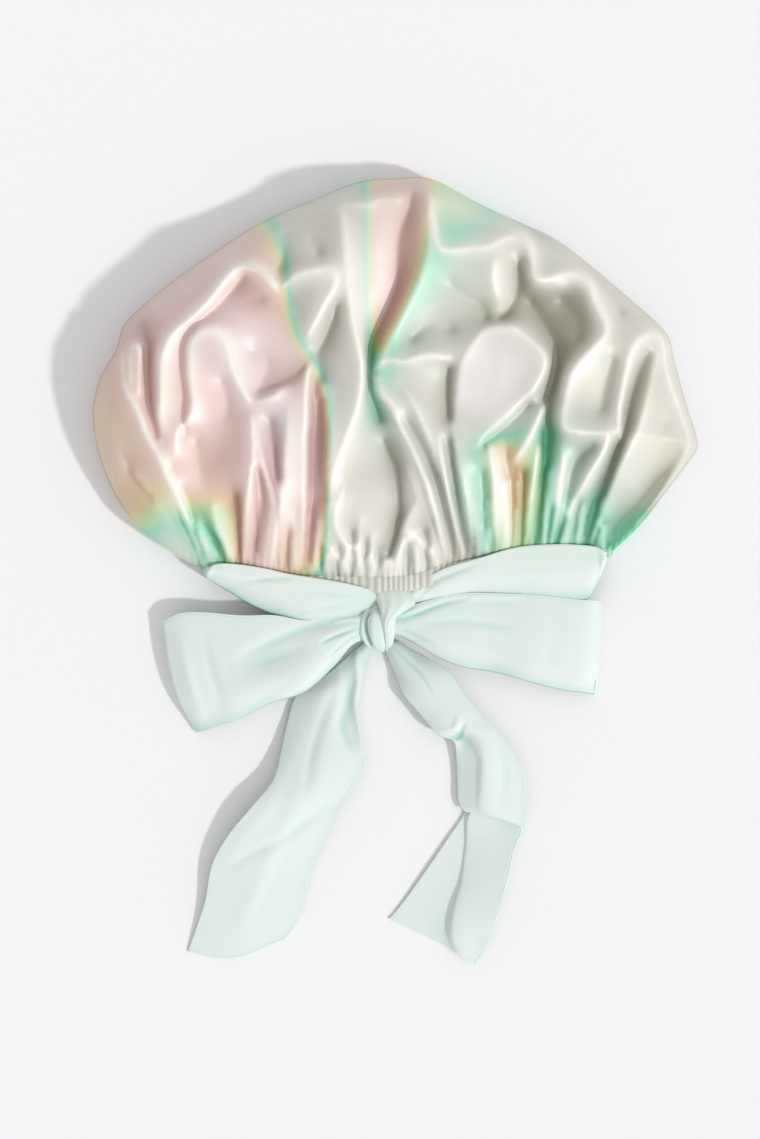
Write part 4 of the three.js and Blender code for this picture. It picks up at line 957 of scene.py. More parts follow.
# %% [markdown]
# The print is a soft rainbow, the kind that seems to shift as the cloth turns: pearl grey, then mint,
# yellow, peach and pink always follow each other in that order. So the whole print is one number on each
# point of the cloth, its phase, and one colour ramp. The zones are strokes again, with a skin stretched
# between them. Where the phase changes quickly the colours crowd into a narrow rainbow, as they do at the
# edge of the pink.

# %% The phase of the print
PEARL, MINT, LIME, PEACH, PINK, LILAC = 0.0, 0.3, 0.42, 0.58, 0.78, 1.0
PHASES = [
    [(240, 226, PINK), (225, 262, PINK), (200, 300, PINK), (160, 330, PINK), (140, 380, 0.7),
     (150, 430, PINK)],
    [(255, 218, 0.5), (264, 240, 0.52), (277, 262, PEACH), (283, 290, PEACH), (290, 330, PEACH),
     (304, 357, PEACH), (319, 385, PEACH), (325, 410, 0.65), (323, 480, PINK), (317, 560, PINK)],
    [(262, 240, PEACH), (266, 275, 0.7)],
    [(266, 212, MINT), (276, 228, MINT), (284, 250, MINT), (287, 285, MINT), (290, 312, MINT),
     (297, 337, MINT), (317, 365, MINT), (329, 400, MINT), (328, 440, 0.2)],
    [(282, 203, PEARL), (291, 235, PEARL), (297, 270, 0.03), (302, 310, 0.02), (312, 340, PEARL),
     (330, 366, PEARL), (340, 400, PEARL), (338, 450, PEARL), (333, 500, PEARL), (326, 570, PEARL)],
    [(320, 200, PEARL), (320, 260, PEARL), (325, 320, PEARL)],
    [(240, 300, PINK), (250, 350, LILAC), (250, 400, PINK), (290, 420, LILAC), (295, 500, PINK),
     (290, 560, 0.6)],
    [(200, 380, PINK), (210, 430, PINK), (215, 470, PINK)],
    [(94, 420, 0.55), (104, 380, 0.6), (116, 345, PINK), (130, 320, PINK)],
    [(100, 470, 0.55), (112, 492, 0.56), (128, 512, 0.55), (136, 514, 0.5)],
    [(130, 440, PEACH), (140, 475, PEACH), (150, 494, 0.52)],
    [(186, 480, PINK), (192, 494, 0.6), (214, 490, 0.62)],
    [(168, 490, 0.55), (182, 497, 0.48), (206, 502, 0.44), (222, 506, LIME), (228, 520, 0.42)],
    [(136, 521, LIME), (148, 524, 0.36), (166, 516, 0.36), (180, 508, LIME), (196, 514, 0.36),
     (212, 516, 0.38)],
    [(146, 538, 0.22), (162, 534, 0.2), (182, 528, 0.27), (202, 534, MINT), (224, 540, 0.33)],
    [(165, 552, 0.08), (190, 560, 0.2), (212, 562, MINT), (228, 562, 0.33)],
    [(236, 494, PEACH), (234, 530, 0.55), (234, 562, 0.5)],
    [(246, 500, PINK), (245, 560, PINK), (262, 560, 0.64)],
    [(354, 184, PEARL), (355, 260, PEARL), (358, 330, PEARL), (362, 380, PEARL)],
    [(364, 183, 0.25), (364, 240, 0.2), (366, 300, 0.25), (369, 350, 0.3), (372, 392, MINT)],
    [(373, 183, PEACH), (372, 240, 0.64), (374, 300, PEACH), (374, 330, PEACH)],
    [(390, 182, PINK), (392, 230, PINK), (386, 290, PINK), (379, 330, 0.64)],
    [(418, 180, PINK), (416, 210, 0.7), (411, 240, 0.64), (403, 275, PINK), (393, 318, PINK),
     (381, 350, PEACH)],
    [(426, 180, PEACH), (427, 215, 0.54), (422, 240, 0.54), (413, 272, 0.6), (401, 310, 0.6),
     (386, 345, 0.5)],
    [(436, 178, 0.4), (434, 210, 0.36), (431, 240, MINT), (421, 274, MINT), (404, 312, 0.25),
     (388, 346, 0.2)],
    [(448, 182, LIME), (458, 200, LIME), (478, 206, 0.38), (504, 216, 0.22), (530, 226, 0.04)],
    [(448, 215, 0.36), (466, 228, 0.3), (490, 234, 0.16), (520, 228, PEARL)],
    [(440, 250, 0.26), (456, 262, 0.2), (480, 262, 0.08), (510, 262, PEARL)],
    [(432, 285, 0.22), (450, 290, 0.14), (490, 290, 0.02), (540, 285, PEARL)],
    [(410, 330, 0.12), (440, 320, 0.06), (470, 330, PEARL)],
    [(368, 412, 0.3), (376, 418, 0.3), (384, 412, 0.25)],
    [(360, 450, PEARL), (390, 480, PEARL), (420, 520, PEARL), (450, 545, PEARL), (466, 552, PEARL)],
    [(560, 250, PEARL), (620, 300, PEARL), (664, 340, PEARL), (690, 430, PEARL), (670, 470, PEARL)],
    [(600, 330, PEARL), (560, 350, PEARL), (600, 400, PEARL), (640, 440, PEARL), (640, 400, PEARL)],
    [(405, 380, PEARL), (440, 400, PEARL), (450, 440, PEARL)],
    [(470, 448, 0.26), (480, 436, 0.2), (496, 424, 0.08), (516, 408, 0.04), (534, 396, 0.02)],
    [(505, 434, 0.2), (522, 424, 0.22), (540, 412, 0.2)],
    [(541, 430, 0.33), (538, 470, 0.34)],
    [(486, 447, 0.5), (496, 449, PEACH), (510, 452, PEACH), (520, 448, LIME)],
    [(474, 470, 0.3), (488, 500, 0.36), (496, 550, 0.38)],
    [(496, 470, PEACH), (506, 500, 0.52), (512, 545, LIME)],
    [(512, 470, PEACH), (522, 500, 0.5), (524, 540, LIME)],
    [(532, 460, LIME), (534, 500, 0.4), (534, 545, MINT)],
    [(550, 450, 0.28), (552, 500, MINT), (550, 545, MINT)],
    [(580, 480, 0.1), (575, 510, 0.2), (575, 545, 0.28)],
    [(600, 470, 0.08), (596, 500, 0.28), (600, 540, 0.25)],
    [(640, 488, 0.0), (632, 505, 0.12), (624, 520, 0.2), (608, 540, 0.25)],
    [(658, 500, 0.1), (646, 512, MINT), (630, 526, MINT), (618, 545, MINT)],
]

PHASE_PULL = 400 * MM
PHASE_RADIUS = 3.0 * MM
phase = blur(stretch_skin(PHASES, PHASE_PULL, FOLD_LEVEL_MM), PHASE_RADIUS)
print(len(PHASES), "strokes of print, phase", phase.min().round(2), "to", phase.max().round(2))

# %% [markdown]
# In a few places the pearl grey leans to lilac instead. That is a second, much simpler number on each
# point: how much lilac to mix in.

# %% Lilac in the pearl grey
LILAC_SPOTS = [
    [(495, 345, 1), (510, 370, 1), (490, 400, 1), (470, 400, 1), (480, 370, 1), (495, 345, 1)],
    [(240, 330, 0.3), (255, 370, 0.4), (290, 430, 0.6)],
    [(250, 290, 0.0), (270, 330, 0.3)],
    [(440, 340, 0), (445, 400, 0), (470, 440, 0), (520, 420, 0), (545, 380, 0), (540, 340, 0),
     (500, 315, 0), (460, 325, 0)],
    [(400, 200, 0.2), (400, 300, 0)],
    [(430, 470, 0.4), (440, 520, 0.4)],
    [(600, 300, 0), (660, 400, 0), (600, 500, 0)],
    [(180, 300, 0.3), (180, 400, 0), (200, 450, 0)],
]

LILAC_PULL = 60 * MM
LILAC_RADIUS = 5 * MM
lilac = blur(stretch_skin(LILAC_SPOTS, LILAC_PULL, FOLD_LEVEL_MM), LILAC_RADIUS)
print("lilac", lilac.min().round(2), "to", lilac.max().round(2))

# %% [markdown]
# Front and back now become one mesh. Every point carries the numbers that its colour needs: phase and
# lilac of the print, and the painted light of the crest lines and the facets. At the fold at the top of
# the crown the print of the front runs over and slowly turns into the mirrored print of the back. Near
# the hem the puckers get painted highlights on their crests and painted shade between them. The back has
# no painted light.

# %% The crown's cloth
PRINT_TURN = 70 * MM
GATHER_PAINTED_SHEEN = 1.0
PUCKER_MEAN = 0.42

front_x, front_y = front_grid[..., 0], front_grid[..., 1]
front_phase = read_field(phase, front_x, front_y)
front_lilac = read_field(lilac, front_x, front_y)
past_fold = smooth(b_edge[1:] / PRINT_TURN)
back_phase = read_field(phase, -back_grid[..., 0], back_grid[..., 1]) * past_fold
back_phase = back_phase + front_phase[-1] * (1 - past_fold)
back_lilac = read_field(lilac, -back_grid[..., 0], back_grid[..., 1]) * past_fold
# Painted highlight on the crests of the puckers and painted shade between them, fading away from the hem
hem_painted_sheen = GATHER_PAINTED_SHEEN * (puckers(front_x - mouth_x) - PUCKER_MEAN)
hem_painted_sheen = hem_painted_sheen * np.exp(-np.abs(front_y - hem_y(front_x) - crown_edge) / PUCKER_REACH)
front_painted_light = read_field(crest, front_x, front_y) + hem_painted_sheen
crown = grid_mesh(
    "crown_satin",
    crown_grid,
    attributes={
        "print_phase": np.concatenate([front_phase, back_phase]),
        "print_lilac": np.concatenate([front_lilac, back_lilac]),
        "crest": np.concatenate([front_painted_light, 0 * back_phase]),
        "painted_light": np.concatenate([read_field(painted_light, front_x, front_y), 0 * back_phase]),
    },
)
thicken(crown, SATIN_THICK)

# %% [markdown]
# Satin is woven so that long threads lie on the surface side by side. They reflect together, so satin has
# a strong, soft highlight that lights the whole crest of a fold, and its colour stays clear beside it. A
# slightly metallic surface with a middling roughness gives that. The weave is much finer than a pixel, so
# only a faint grain of it is added as bump.
#
# The phase picks the colour of the print from a ramp. The crest lines and the facets' painted light are
# added up: above zero they mix in the pale colour of a painted highlight. Below zero they are painted
# shade, which multiplies the print with its own colour and a grey, because in a deep fold the light goes
# from cloth to cloth a few times and is tinted each time. So the painted shade in the hollows stays
# colourful.

# %% Printed satin
PRINT_STOPS = [
    (PEARL, linear(0.83, 0.82, 0.78)),
    (0.16, linear(0.77, 0.82, 0.77)),
    (MINT, linear(0.60, 0.84, 0.74)),
    (LIME, linear(0.76, 0.86, 0.68)),
    (0.5, linear(0.88, 0.82, 0.66)),
    (PEACH, linear(0.89, 0.79, 0.71)),
    (PINK, linear(0.89, 0.78, 0.76)),
    (LILAC, linear(0.86, 0.79, 0.80)),
]
PALE_LILAC = (*linear(0.88, 0.85, 0.86), 1)
PAINTED_HIGHLIGHT_COLOR = (*linear(0.97, 0.95, 0.92), 1)
PAINTED_SHADE_GREY = (0.76, 0.75, 0.74, 1)
PRINT_WANDER, WANDER_SCALE = 0.05, 28.0
WEAVE_SCALE = 1600.0
HIGHLIGHT_START, HIGHLIGHT_FULL, HIGHLIGHT_MOST = 0.04, 0.8, 0.72
SHADE_START, SHADE_FULL = -0.03, -0.9

satin, tree, shader = new_finish("printed_satin", Roughness=0.48, Metallic=0.1, Specular_IOR_Level=0.35)
place = add_node(tree, "TexCoord").outputs["Object"]
wander = add_node(tree, "TexNoise", Vector=place, Scale=WANDER_SCALE, Detail=2.0).outputs["Fac"]
small = map_range(tree, wander, 0, 1, -PRINT_WANDER, PRINT_WANDER)
add = {"operation": "ADD"}
shifted = add_node(tree, "Math", add, _0=attribute(tree, "print_phase"), _1=small).outputs[0]
printed = mix(tree, attribute(tree, "print_lilac"), ramp(tree, shifted, PRINT_STOPS), PALE_LILAC)
# Painted highlight above zero, painted shade below it
lit_by = add_node(tree, "Math", add, _0=attribute(tree, "crest"), _1=attribute(tree, "painted_light")).outputs[0]
bright = map_range(tree, lit_by, HIGHLIGHT_START, HIGHLIGHT_FULL, 0, HIGHLIGHT_MOST)
dark = map_range(tree, lit_by, SHADE_START, SHADE_FULL, 0, 1)
fold_shade = mix(tree, 1.0, printed, PAINTED_SHADE_GREY, "MULTIPLY")
shade = mix(tree, dark, mix(tree, bright, printed, PAINTED_HIGHLIGHT_COLOR), fold_shade, "MULTIPLY")
tree.links.new(shade, shader.inputs["Base Color"])
grain = add_node(tree, "TexNoise", Vector=place, Scale=WEAVE_SCALE, Detail=1.0).outputs["Fac"]
add_bump(tree, shader, grain, strength=0.08, distance=0.4 * MM)
crown.data.materials.append(satin)
print("printed satin,", len(tree.nodes), "nodes")

# %% [markdown]
# Where a piece goes round the mouth, it has to follow the front when the mouth opens and stay down at the
# back. Nothing here bends it: such a piece only has its placement baked into its mesh, and it rides on
# no body.


def open_with_mouth(piece):
    """Bakes the placement of the piece into its mesh; the piece doesn't bend with the mouth."""
    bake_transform(piece)


open_with_mouth(crown)
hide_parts("crown_front", "crown_back")

# %% [markdown]
# The casing is the edge of the crown, turned and stitched to hold the elastic. It is a flat tube that
# goes once round the hem. The elastic pulls it short, so it is crowded with small gathers, and they run
# on into the crown. The elastic lies inside, and the stitches are short threads along the inner edge.

# %% Casing and elastic
RING_STEPS = 620
ELASTIC_WIDTH = 8 * MM
ELASTIC_THICK = 1.8 * MM
PUCKER_DEPTH = 0.9 * MM
FRILL = 1.1 * MM
CORNER_REACH = 22 * MM
CORNER_BUNCH = 0.65
CORNER_LIFT = 2.5 * MM
SQUARE_WIDE = 0.6
SQUARE_THICK = 0.7


def ring_along(x, z):
    """Distance round the ring, zero in the middle of the front, as the gathers of the crown count it."""
    steps = np.hypot(np.diff(x), np.diff(z))
    along = np.concatenate([[0], np.cumsum(steps)])
    return along - along[len(x) // 4]


def ring_tube(name, half_width, half_thick, sides, gathers):
    """A flat closed tube round the hem. `gathers` is 0 for a plain tube and 1 for gathered cloth."""
    x, z, nx, nz = whole_ring(RING_STEPS)
    fold = gathers * puckers(ring_along(x, z))
    turn = np.linspace(0, 2 * math.pi, sides + 1)[:, None]
    wide = np.sign(np.cos(turn)) * np.abs(np.cos(turn)) ** SQUARE_WIDE
    out = np.sign(np.sin(turn)) * np.abs(np.sin(turn)) ** SQUARE_THICK
    thick = half_thick - PUCKER_DEPTH * gathers * (1 - fold) * (out > 0)
    bunched = 1 - smooth((mouth_half + CASING_THICK / 2 - np.abs(x - mouth_x)) / CORNER_REACH)
    y = hem_y(x) + wide * half_width * (1 - CORNER_BUNCH * bunched) + CORNER_LIFT * bunched
    y = y - FRILL * gathers * (1 - fold) * np.clip(-wide, 0, 1)
    grid = np.stack([x + nx * out * thick, y, z + nz * out * thick], -1)
    above = grid[..., 1] + CASING_WIDTH
    # The outer side of gathered cloth gets painted highlights on the crests of its gathers and painted
    # shade between them
    marks = {
        "print_phase": read_field(phase, grid[..., 0], above),
        "print_lilac": read_field(lilac, grid[..., 0], above),
        "crest": GATHER_PAINTED_SHEEN * gathers * (fold - PUCKER_MEAN) * (out > 0),
    }
    return grid_mesh(name, grid, closed=True, attributes=marks)


casing = ring_tube("casing_satin", CASING_WIDTH / 2, CASING_THICK / 2, 16, 1)
elastic = ring_tube("elastic_ring", ELASTIC_WIDTH / 2, ELASTIC_THICK / 2, 8, 0)

# %% [markdown]
# Threads are round, so one small function makes a closed tube along any line. Stitches are short tubes,
# and later the overlocked edge of the sash is a long one whose thickness rises and falls with each
# stitch.

# %% Threads
THREAD_SIDES = 6
ASKEW = (0.31, 0.17, 0.94)


def threads(name, lines, radii):
    """One mesh of round threads, each along a line of points with its own radius at each point."""
    turn = np.linspace(0, 2 * math.pi, THREAD_SIDES, endpoint=False)
    corners, faces = [], []
    for line, radius in zip(lines, radii):
        ahead = np.gradient(line, axis=0)
        ahead /= np.linalg.norm(ahead, axis=1)[:, None]
        side = np.cross(ahead, ASKEW)
        side /= np.linalg.norm(side, axis=1)[:, None]
        up = np.cross(side, ahead)
        ring = np.cos(turn)[None, :, None] * side[:, None] + np.sin(turn)[None, :, None] * up[:, None]
        first = sum(map(len, corners))
        corners.append((line[:, None] + radius[:, None, None] * ring).reshape(-1, 3))
        index = first + np.arange(len(line) * THREAD_SIDES).reshape(len(line), THREAD_SIDES)
        index = np.column_stack([index, index[:, 0]])
        quads = np.stack([index[:-1, :-1], index[:-1, 1:], index[1:, 1:], index[1:, :-1]], -1)
        faces += quads.reshape(-1, 4).tolist()
        faces += [index[0, :-1][::-1].tolist(), index[-1, :-1].tolist()]
    mesh = bpy.data.meshes.new(name)
    mesh.from_pydata(np.concatenate(corners).tolist(), [], faces)
    mesh.polygons.foreach_set("use_smooth", [True] * len(mesh.polygons))
    piece = bpy.data.objects.new(name, mesh)
    scene.collection.objects.link(piece)
    print(name, len(lines), "threads,", len(faces), "faces")
    return piece


# %% [markdown]
# The stitches follow the ring near the inner edge of the casing, one after the other with a small gap.
# There the flat tube of the casing is a little thinner than in its middle, and each stitch dips into the
# satin at both ends, where the needle went through.

# %% Stitches of the casing
STITCH_PITCH = 3.2 * MM
STITCH_LENGTH = 2.3 * MM
STITCH_RADIUS = 0.22 * MM
STITCH_LINE = 3.7 * MM
STITCH_PROUD = 0.05 * MM
WALL_SHARE = 0.86
STITCH_DIP = np.array([1.6, 0.3, 0, 0.3, 1.6])

ring_x, ring_z, ring_nx, ring_nz = whole_ring(RING_STEPS)
ring_place = ring_along(ring_x, ring_z)
stitch_lines = []
for start in np.arange(ring_place[0], ring_place[-1] - STITCH_PITCH, STITCH_PITCH):
    at = start + np.linspace(0, STITCH_LENGTH, len(STITCH_DIP))
    x, z, nx, nz = (np.interp(at, ring_place, line) for line in (ring_x, ring_z, ring_nx, ring_nz))
    out = CASING_THICK / 2 * WALL_SHARE - PUCKER_DEPTH * (1 - puckers(at)) + STITCH_PROUD
    out = out - STITCH_RADIUS * STITCH_DIP
    stitch_lines.append(np.stack([x + nx * out, hem_y(x) + STITCH_LINE, z + nz * out], -1))
stitch_radii = [np.full(len(STITCH_DIP), STITCH_RADIUS)] * len(stitch_lines)
stitches = threads("casing_stitches", stitch_lines, stitch_radii)

# %% [markdown]
# The sash, the loops and the tails are strips cut from one long piece of crepe, 65 mm wide. In each place
# the strip is drawn as a few rows of points across it, traced from the photograph with a height for each.
# Small folds are pressed into the grid afterwards, as strokes that raise or lower it.

# %% Rows and strokes of crepe
CREPE_WIDTH = 65 * MM
CREPE_THICK = 0.5 * MM
CREPE_LEVEL_MM = 12


def rows_to_grid(rows, height, width, evenly=True):
    """A smooth grid through rows of (pixel across, pixel down, height in mm)."""
    if evenly:
        lines = np.stack([even(spline(spots(row), 80), width) for row in rows])
    else:
        lines = np.stack([spline(spots(row), width) for row in rows])
    return spline(lines, height)


def press(grid, strokes):
    """Raises or lowers a grid along strokes of (rise in mm, half width in mm, pixels)."""
    for rise, half_width, points in strokes:
        line = even(spline(flat_spots([(x, y, 0) for x, y in points], CREPE_LEVEL_MM), 60), 30)
        away = np.full(grid.shape[:2], np.inf)
        where = np.zeros(grid.shape[:2])
        for k, (a, b) in enumerate(zip(line[:-1], line[1:])):
            t = np.clip((grid[..., :2] - a) @ (b - a) / ((b - a) @ (b - a)), 0, 1)
            distance = np.linalg.norm(grid[..., :2] - a - t[..., None] * (b - a), axis=-1)
            nearer = distance < away
            away[nearer] = distance[nearer]
            where[nearer] = (k + t[nearer]) / (len(line) - 1)
        # A stroke is weak at both ends
        fade = np.sin(math.pi * (0.06 + 0.88 * where)) ** 0.6
        grid[..., 2] += rise * MM * np.exp(-((away / (half_width * MM)) ** 2)) * fade
    return grid


def strip_length(grid):
    """The length of a strip, measured along its middle."""
    return np.linalg.norm(np.diff(grid[:, grid.shape[1] // 2], axis=0), axis=1).sum()


# %% [markdown]
# Where the strip looks narrower than the cloth is, the rest of its width is folded under, as on the real
# bow. So each piece has about the area of cloth that its strip really has. The points of the hidden
# layers run back under the row, a little below it, and turn once more where there is enough cloth.

# %% Cloth that is folded under
TUCK_COLUMNS = 22
TUCK_SHARE = 0.9
LEAST_TUCK = 0.5 * MM


def tuck(grid, normals, gap, layers=2.0):
    """Folds the missing width of each row under its last edge, and back again where there is enough."""
    steps = np.linalg.norm(np.diff(grid, axis=1), axis=2)
    along = np.concatenate([np.zeros((len(grid), 1)), np.cumsum(steps, axis=1)], axis=1)
    shown = along[:, -1:]
    run = TUCK_SHARE * shown
    extra = np.clip(CREPE_WIDTH - shown, LEAST_TUCK, layers * run)
    passes = extra / run * np.linspace(0, 1, TUCK_COLUMNS + 1)[None, 1:]
    at = shown - run * (1 - np.abs(1 - passes))
    # Down by one gap at the first fold, and by another where the cloth folds back
    depth = gap * (smooth(passes / 0.1) + smooth((passes - 0.92) / 0.16))
    under = np.empty((*at.shape, 3))
    for n, k in np.ndindex(len(grid), 3):
        under[n, :, k] = np.interp(at[n], along[n], grid[n, :, k])
    return np.concatenate([grid, under - normals[:, None] * depth[..., None]], axis=1)


def down(count):
    """For `tuck`: cloth that lies flat has its other layers straight below."""
    return np.tile([0, 0, 1.0], (count, 1))


# %% [markdown]
# Light that goes into a fold of crepe comes back greener, and here that is painted shade. So every strip
# stores how deep each of its points lies below the cloth around it, as its share of painted shade. Near
# the knot the cloth is bunched, and everything there gets painted shade.

# %% A piece of crepe
TABLE_GAP = 0.35 * MM
CREASE_REACH = 7
CREASE_DEPTH = 1.3 * MM
UNDER_PAINTED_SHADE = 0.15
KNOT_PIXEL = (379, 622)
KNOT_LEVEL_MM = 14
KNOT_REACH = 16 * MM
KNOT_PAINTED_SHADE = 0.6

knot_place = flat_spots([(*KNOT_PIXEL, 0)], KNOT_LEVEL_MM)[0]


def creases(grid, shown_columns):
    """How deep each point lies in a fold, 0 to 1, as painted shade. Cloth folded under gets a little."""
    z = grid[:, :shown_columns, 2]
    mean = z
    width = 2 * CREASE_REACH + 1
    for axis in (0, 1):
        margins = [(CREASE_REACH, CREASE_REACH) if a == axis else (0, 0) for a in (0, 1)]
        wide = np.pad(mean, margins, mode="edge")
        mean = sum(np.take(wide, range(k, k + z.shape[axis]), axis) for k in range(width)) / width
    deep = np.full(grid.shape[:2], UNDER_PAINTED_SHADE)
    deep[:, :shown_columns] = np.clip((mean - z) / CREASE_DEPTH, 0, 1)
    return deep


def crepe_piece(name, grid, shown_columns, thickness=CREPE_THICK):
    """A strip of crepe with painted shade in its folds and near the knot, lying above the table."""
    grid[..., 2] = np.maximum(grid[..., 2], TABLE_GAP)
    near_knot = np.exp(-np.linalg.norm(grid[..., :2] - knot_place, axis=2) / KNOT_REACH)
    # Painted shade in the folds, and more of it near the knot
    crease = np.clip(creases(grid, shown_columns) + KNOT_PAINTED_SHADE * near_knot, 0, 1)
    piece = grid_mesh(name, grid, attributes={"crease": crease})
    thicken(piece, thickness)
    return piece


# %% [markdown]
# The two bands are the parts of the sash that lie over the front, between the corners of the hem and the
# knot. Each row has its upper and its lower edge, with a height for each, and the folds are pressed in
# later.

# %% Bands over the front of the hem
LEFT_BAND = [
    ((379, 592, 18.0), (378, 605, 13.0)),
    ((362, 587, 21.2), (361, 614, 13.0)),
    ((342, 582.5, 22.8), (340, 620, 12.8)),
    ((316, 578, 23.0), (306, 623.5, 12.6)),
    ((290, 574, 23.2), (276, 615.5, 12.3)),
    ((266, 568.5, 23.3), (250, 604, 13.3)),
    ((240, 564.5, 23.2), (230, 592, 14)),
    ((219, 563.5, 22.8), (213, 582, 16)),
    ((208, 567, 20.5), (206, 577, 17)),
]
RIGHT_BAND = [
    ((606, 552, 20.5), (603, 570, 17)),
    ((597, 547, 22.8), (597, 584, 15)),
    ((582, 545, 23.2), (586, 599.5, 13.2)),
    ((555, 544, 23.3), (560, 600, 13.2)),
    ((517, 547, 23.2), (520, 598, 13)),
    ((479, 558, 22.8), (478, 596, 13.2)),
    ((445, 568, 21.4), (447, 602, 13.6)),
    ((420, 582, 18.4), (424, 605, 13.2)),
    ((405, 594, 16.5), (408, 603, 14)),
]
BAND_FOLDS = [
    (-1.2, 1.6, [(236, 582), (262, 580), (290, 578)]),
    (0.8, 3.0, [(240, 590), (280, 598), (320, 606)]),
    (-0.9, 2.2, [(300, 612), (335, 606), (366, 600)]),
    (-0.8, 2.0, [(305, 592), (340, 594), (370, 598)]),
    (-1.3, 1.5, [(417, 598), (436, 581), (452, 574), (470, 567)]),
    (0.8, 3.5, [(440, 590), (500, 580), (570, 572)]),
    (-0.7, 2.4, [(430, 596), (480, 584), (540, 582)]),
]
print(len(LEFT_BAND), "rows on the left band,", len(RIGHT_BAND), "on the right one")

# %% [markdown]
# The sash goes once round the hem, outside the casing. It starts at the left of the knot, widens into the
# left band, turns round the corner of the hem, lies flat under the back, and comes round the other corner
# to the right of the knot. A band made of bent flat pieces would show its joins, so all of it is one
# strip.

# %% Sash round the hem
SASH_OFFSET = 3.65 * MM
SASH_BACK_WIDTH = 24 * MM
SASH_CORNER_WIDTH = 9 * MM
SASH_CORNER_REACH = 45 * MM
SASH_BACK_RISE = 6.5 * MM
SASH_CORNER_RISE = 3 * MM
SASH_BACK_ROWS = 25
SASH_ROWS = 420
SASH_COLUMNS = 26
SASH_THICK = 0.35 * MM
SASH_GAP = 0.5 * MM
BAND_SWELL = 3.2 * MM
BAND_LEVEL = 0.66

sash_rows, sash_normals = [], []


def add_band(band):
    """Rows of a band on the front, each with its middle a little higher than its edges."""
    for upper, lower in band:
        a, b = spots(np.array([upper, lower]))
        sash_rows.append([a, (a + b) / 2 + np.array([0, 0, BAND_SWELL]), b])
        sash_normals.append((0, 0, 1))


add_band(LEFT_BAND)
for x, z, nx, nz in list(zip(*half_ring(SASH_BACK_ROWS, -1, SASH_OFFSET)))[1:-1]:
    from_side = mouth_half + SASH_OFFSET - abs(x - mouth_x)
    open_share = smooth(from_side / SASH_CORNER_REACH)
    half_width = (SASH_CORNER_WIDTH + (SASH_BACK_WIDTH - SASH_CORNER_WIDTH) * open_share) / 2
    middle = hem_y(x) + SASH_CORNER_RISE + (SASH_BACK_RISE - SASH_CORNER_RISE) * open_share
    sash_rows.append([np.array([x, middle + s * half_width, z]) for s in (1, 0, -1)])
    sash_normals.append((nx, 0, nz))
add_band(RIGHT_BAND)

sash_grid = spline(np.stack([even(spline(row, 40), SASH_COLUMNS) for row in sash_rows]), SASH_ROWS)
sash_normal = spline(np.array(sash_normals, float), SASH_ROWS)
sash_normal /= np.linalg.norm(sash_normal, axis=1)[:, None]
on_front = sash_grid[..., 2] > front_z * BAND_LEVEL
pressed = press(sash_grid.copy(), BAND_FOLDS)
sash_grid = np.where(on_front[..., None], pressed, sash_grid)
sash = crepe_piece("sash_crepe", tuck(sash_grid, sash_normal, SASH_GAP), SASH_COLUMNS, SASH_THICK)

# %% [markdown]
# A loop of the bow is one strip that leaves the knot, turns over at its outer end, and comes back under
# itself. The top is traced from the photograph. The left loop stands up along a broad ridge, and its
# lower corner comes down to the table.

# %% The left loop's rows
LEFT_LOOP = [
    [(377, 612, 12), (376, 621, 13.5), (377, 630, 12), (377, 636, 10)],
    [(364, 613, 12.6), (361, 623, 15), (360, 632, 14), (362, 640, 11)],
    [(352, 615, 13.2), (347, 627, 16.5), (346, 640, 16), (350, 647, 12)],
    [(331, 617.5, 14), (327, 634, 17.5), (328, 652, 17.5), (333, 667, 12.5)],
    [(305, 621, 15), (301, 645, 18), (301, 670, 20), (304, 692, 15)],
    [(274, 616, 15.5), (268, 650, 17), (266, 682, 18.5), (268, 704, 14)],
    [(240, 616, 15), (236, 652, 16.5), (236, 690, 17), (238, 719, 13)],
    [(205, 613, 14.5), (206, 650, 15.5), (212, 692, 15), (218, 726, 10)],
    [(180, 614, 13.5), (184, 655, 14.5), (192, 698, 13), (203, 731, 7)],
]
LEFT_END = [(164, 622, 10.5), (169, 661, 10.5), (179, 698, 9), (197, 732, 3.4)]
LEFT_RETURN = [
    [(182, 620, 4.5), (186, 658, 3.5), (194, 698, 2), (204, 727, 1)],
    [(240, 622, 5), (238, 655, 5), (240, 688, 6), (242, 712, 7.5)],
    [(300, 627, 8), (298, 650, 8.5), (300, 668, 9.5), (302, 685, 10.5)],
    [(350, 624, 10), (350, 630, 10), (350, 636, 10), (352, 641, 10)],
    [(374, 622, 10), (374, 626, 10), (374, 629, 10), (374, 632, 10)],
]
LEFT_LOOP_FOLDS = [
    (-1.6, 4.0, [(250, 652), (277, 640), (316, 626), (350, 622)]),
    (-2.2, 8.0, [(236, 668), (256, 664), (284, 654), (308, 646)]),
    (1.2, 4.0, [(262, 708), (300, 684), (322, 664), (346, 640)]),
    (-1.6, 1.3, [(322, 642), (340, 634), (357, 628)]),
    (-1.4, 1.2, [(330, 655), (345, 642), (358, 634)]),
    (1.2, 1.2, [(335, 622), (350, 619), (362, 619)]),
    (0.8, 3.0, [(182, 640), (190, 680), (202, 716)]),
    (-0.7, 3.0, [(206, 640), (214, 676), (222, 706)]),
]
print("left loop,", len(LEFT_LOOP), "rows on top")

# %% [markdown]
# The top of the right loop is nearly level. One sharp fold runs from the knot along its upper edge, and
# the rest of it is a broad, low wave.

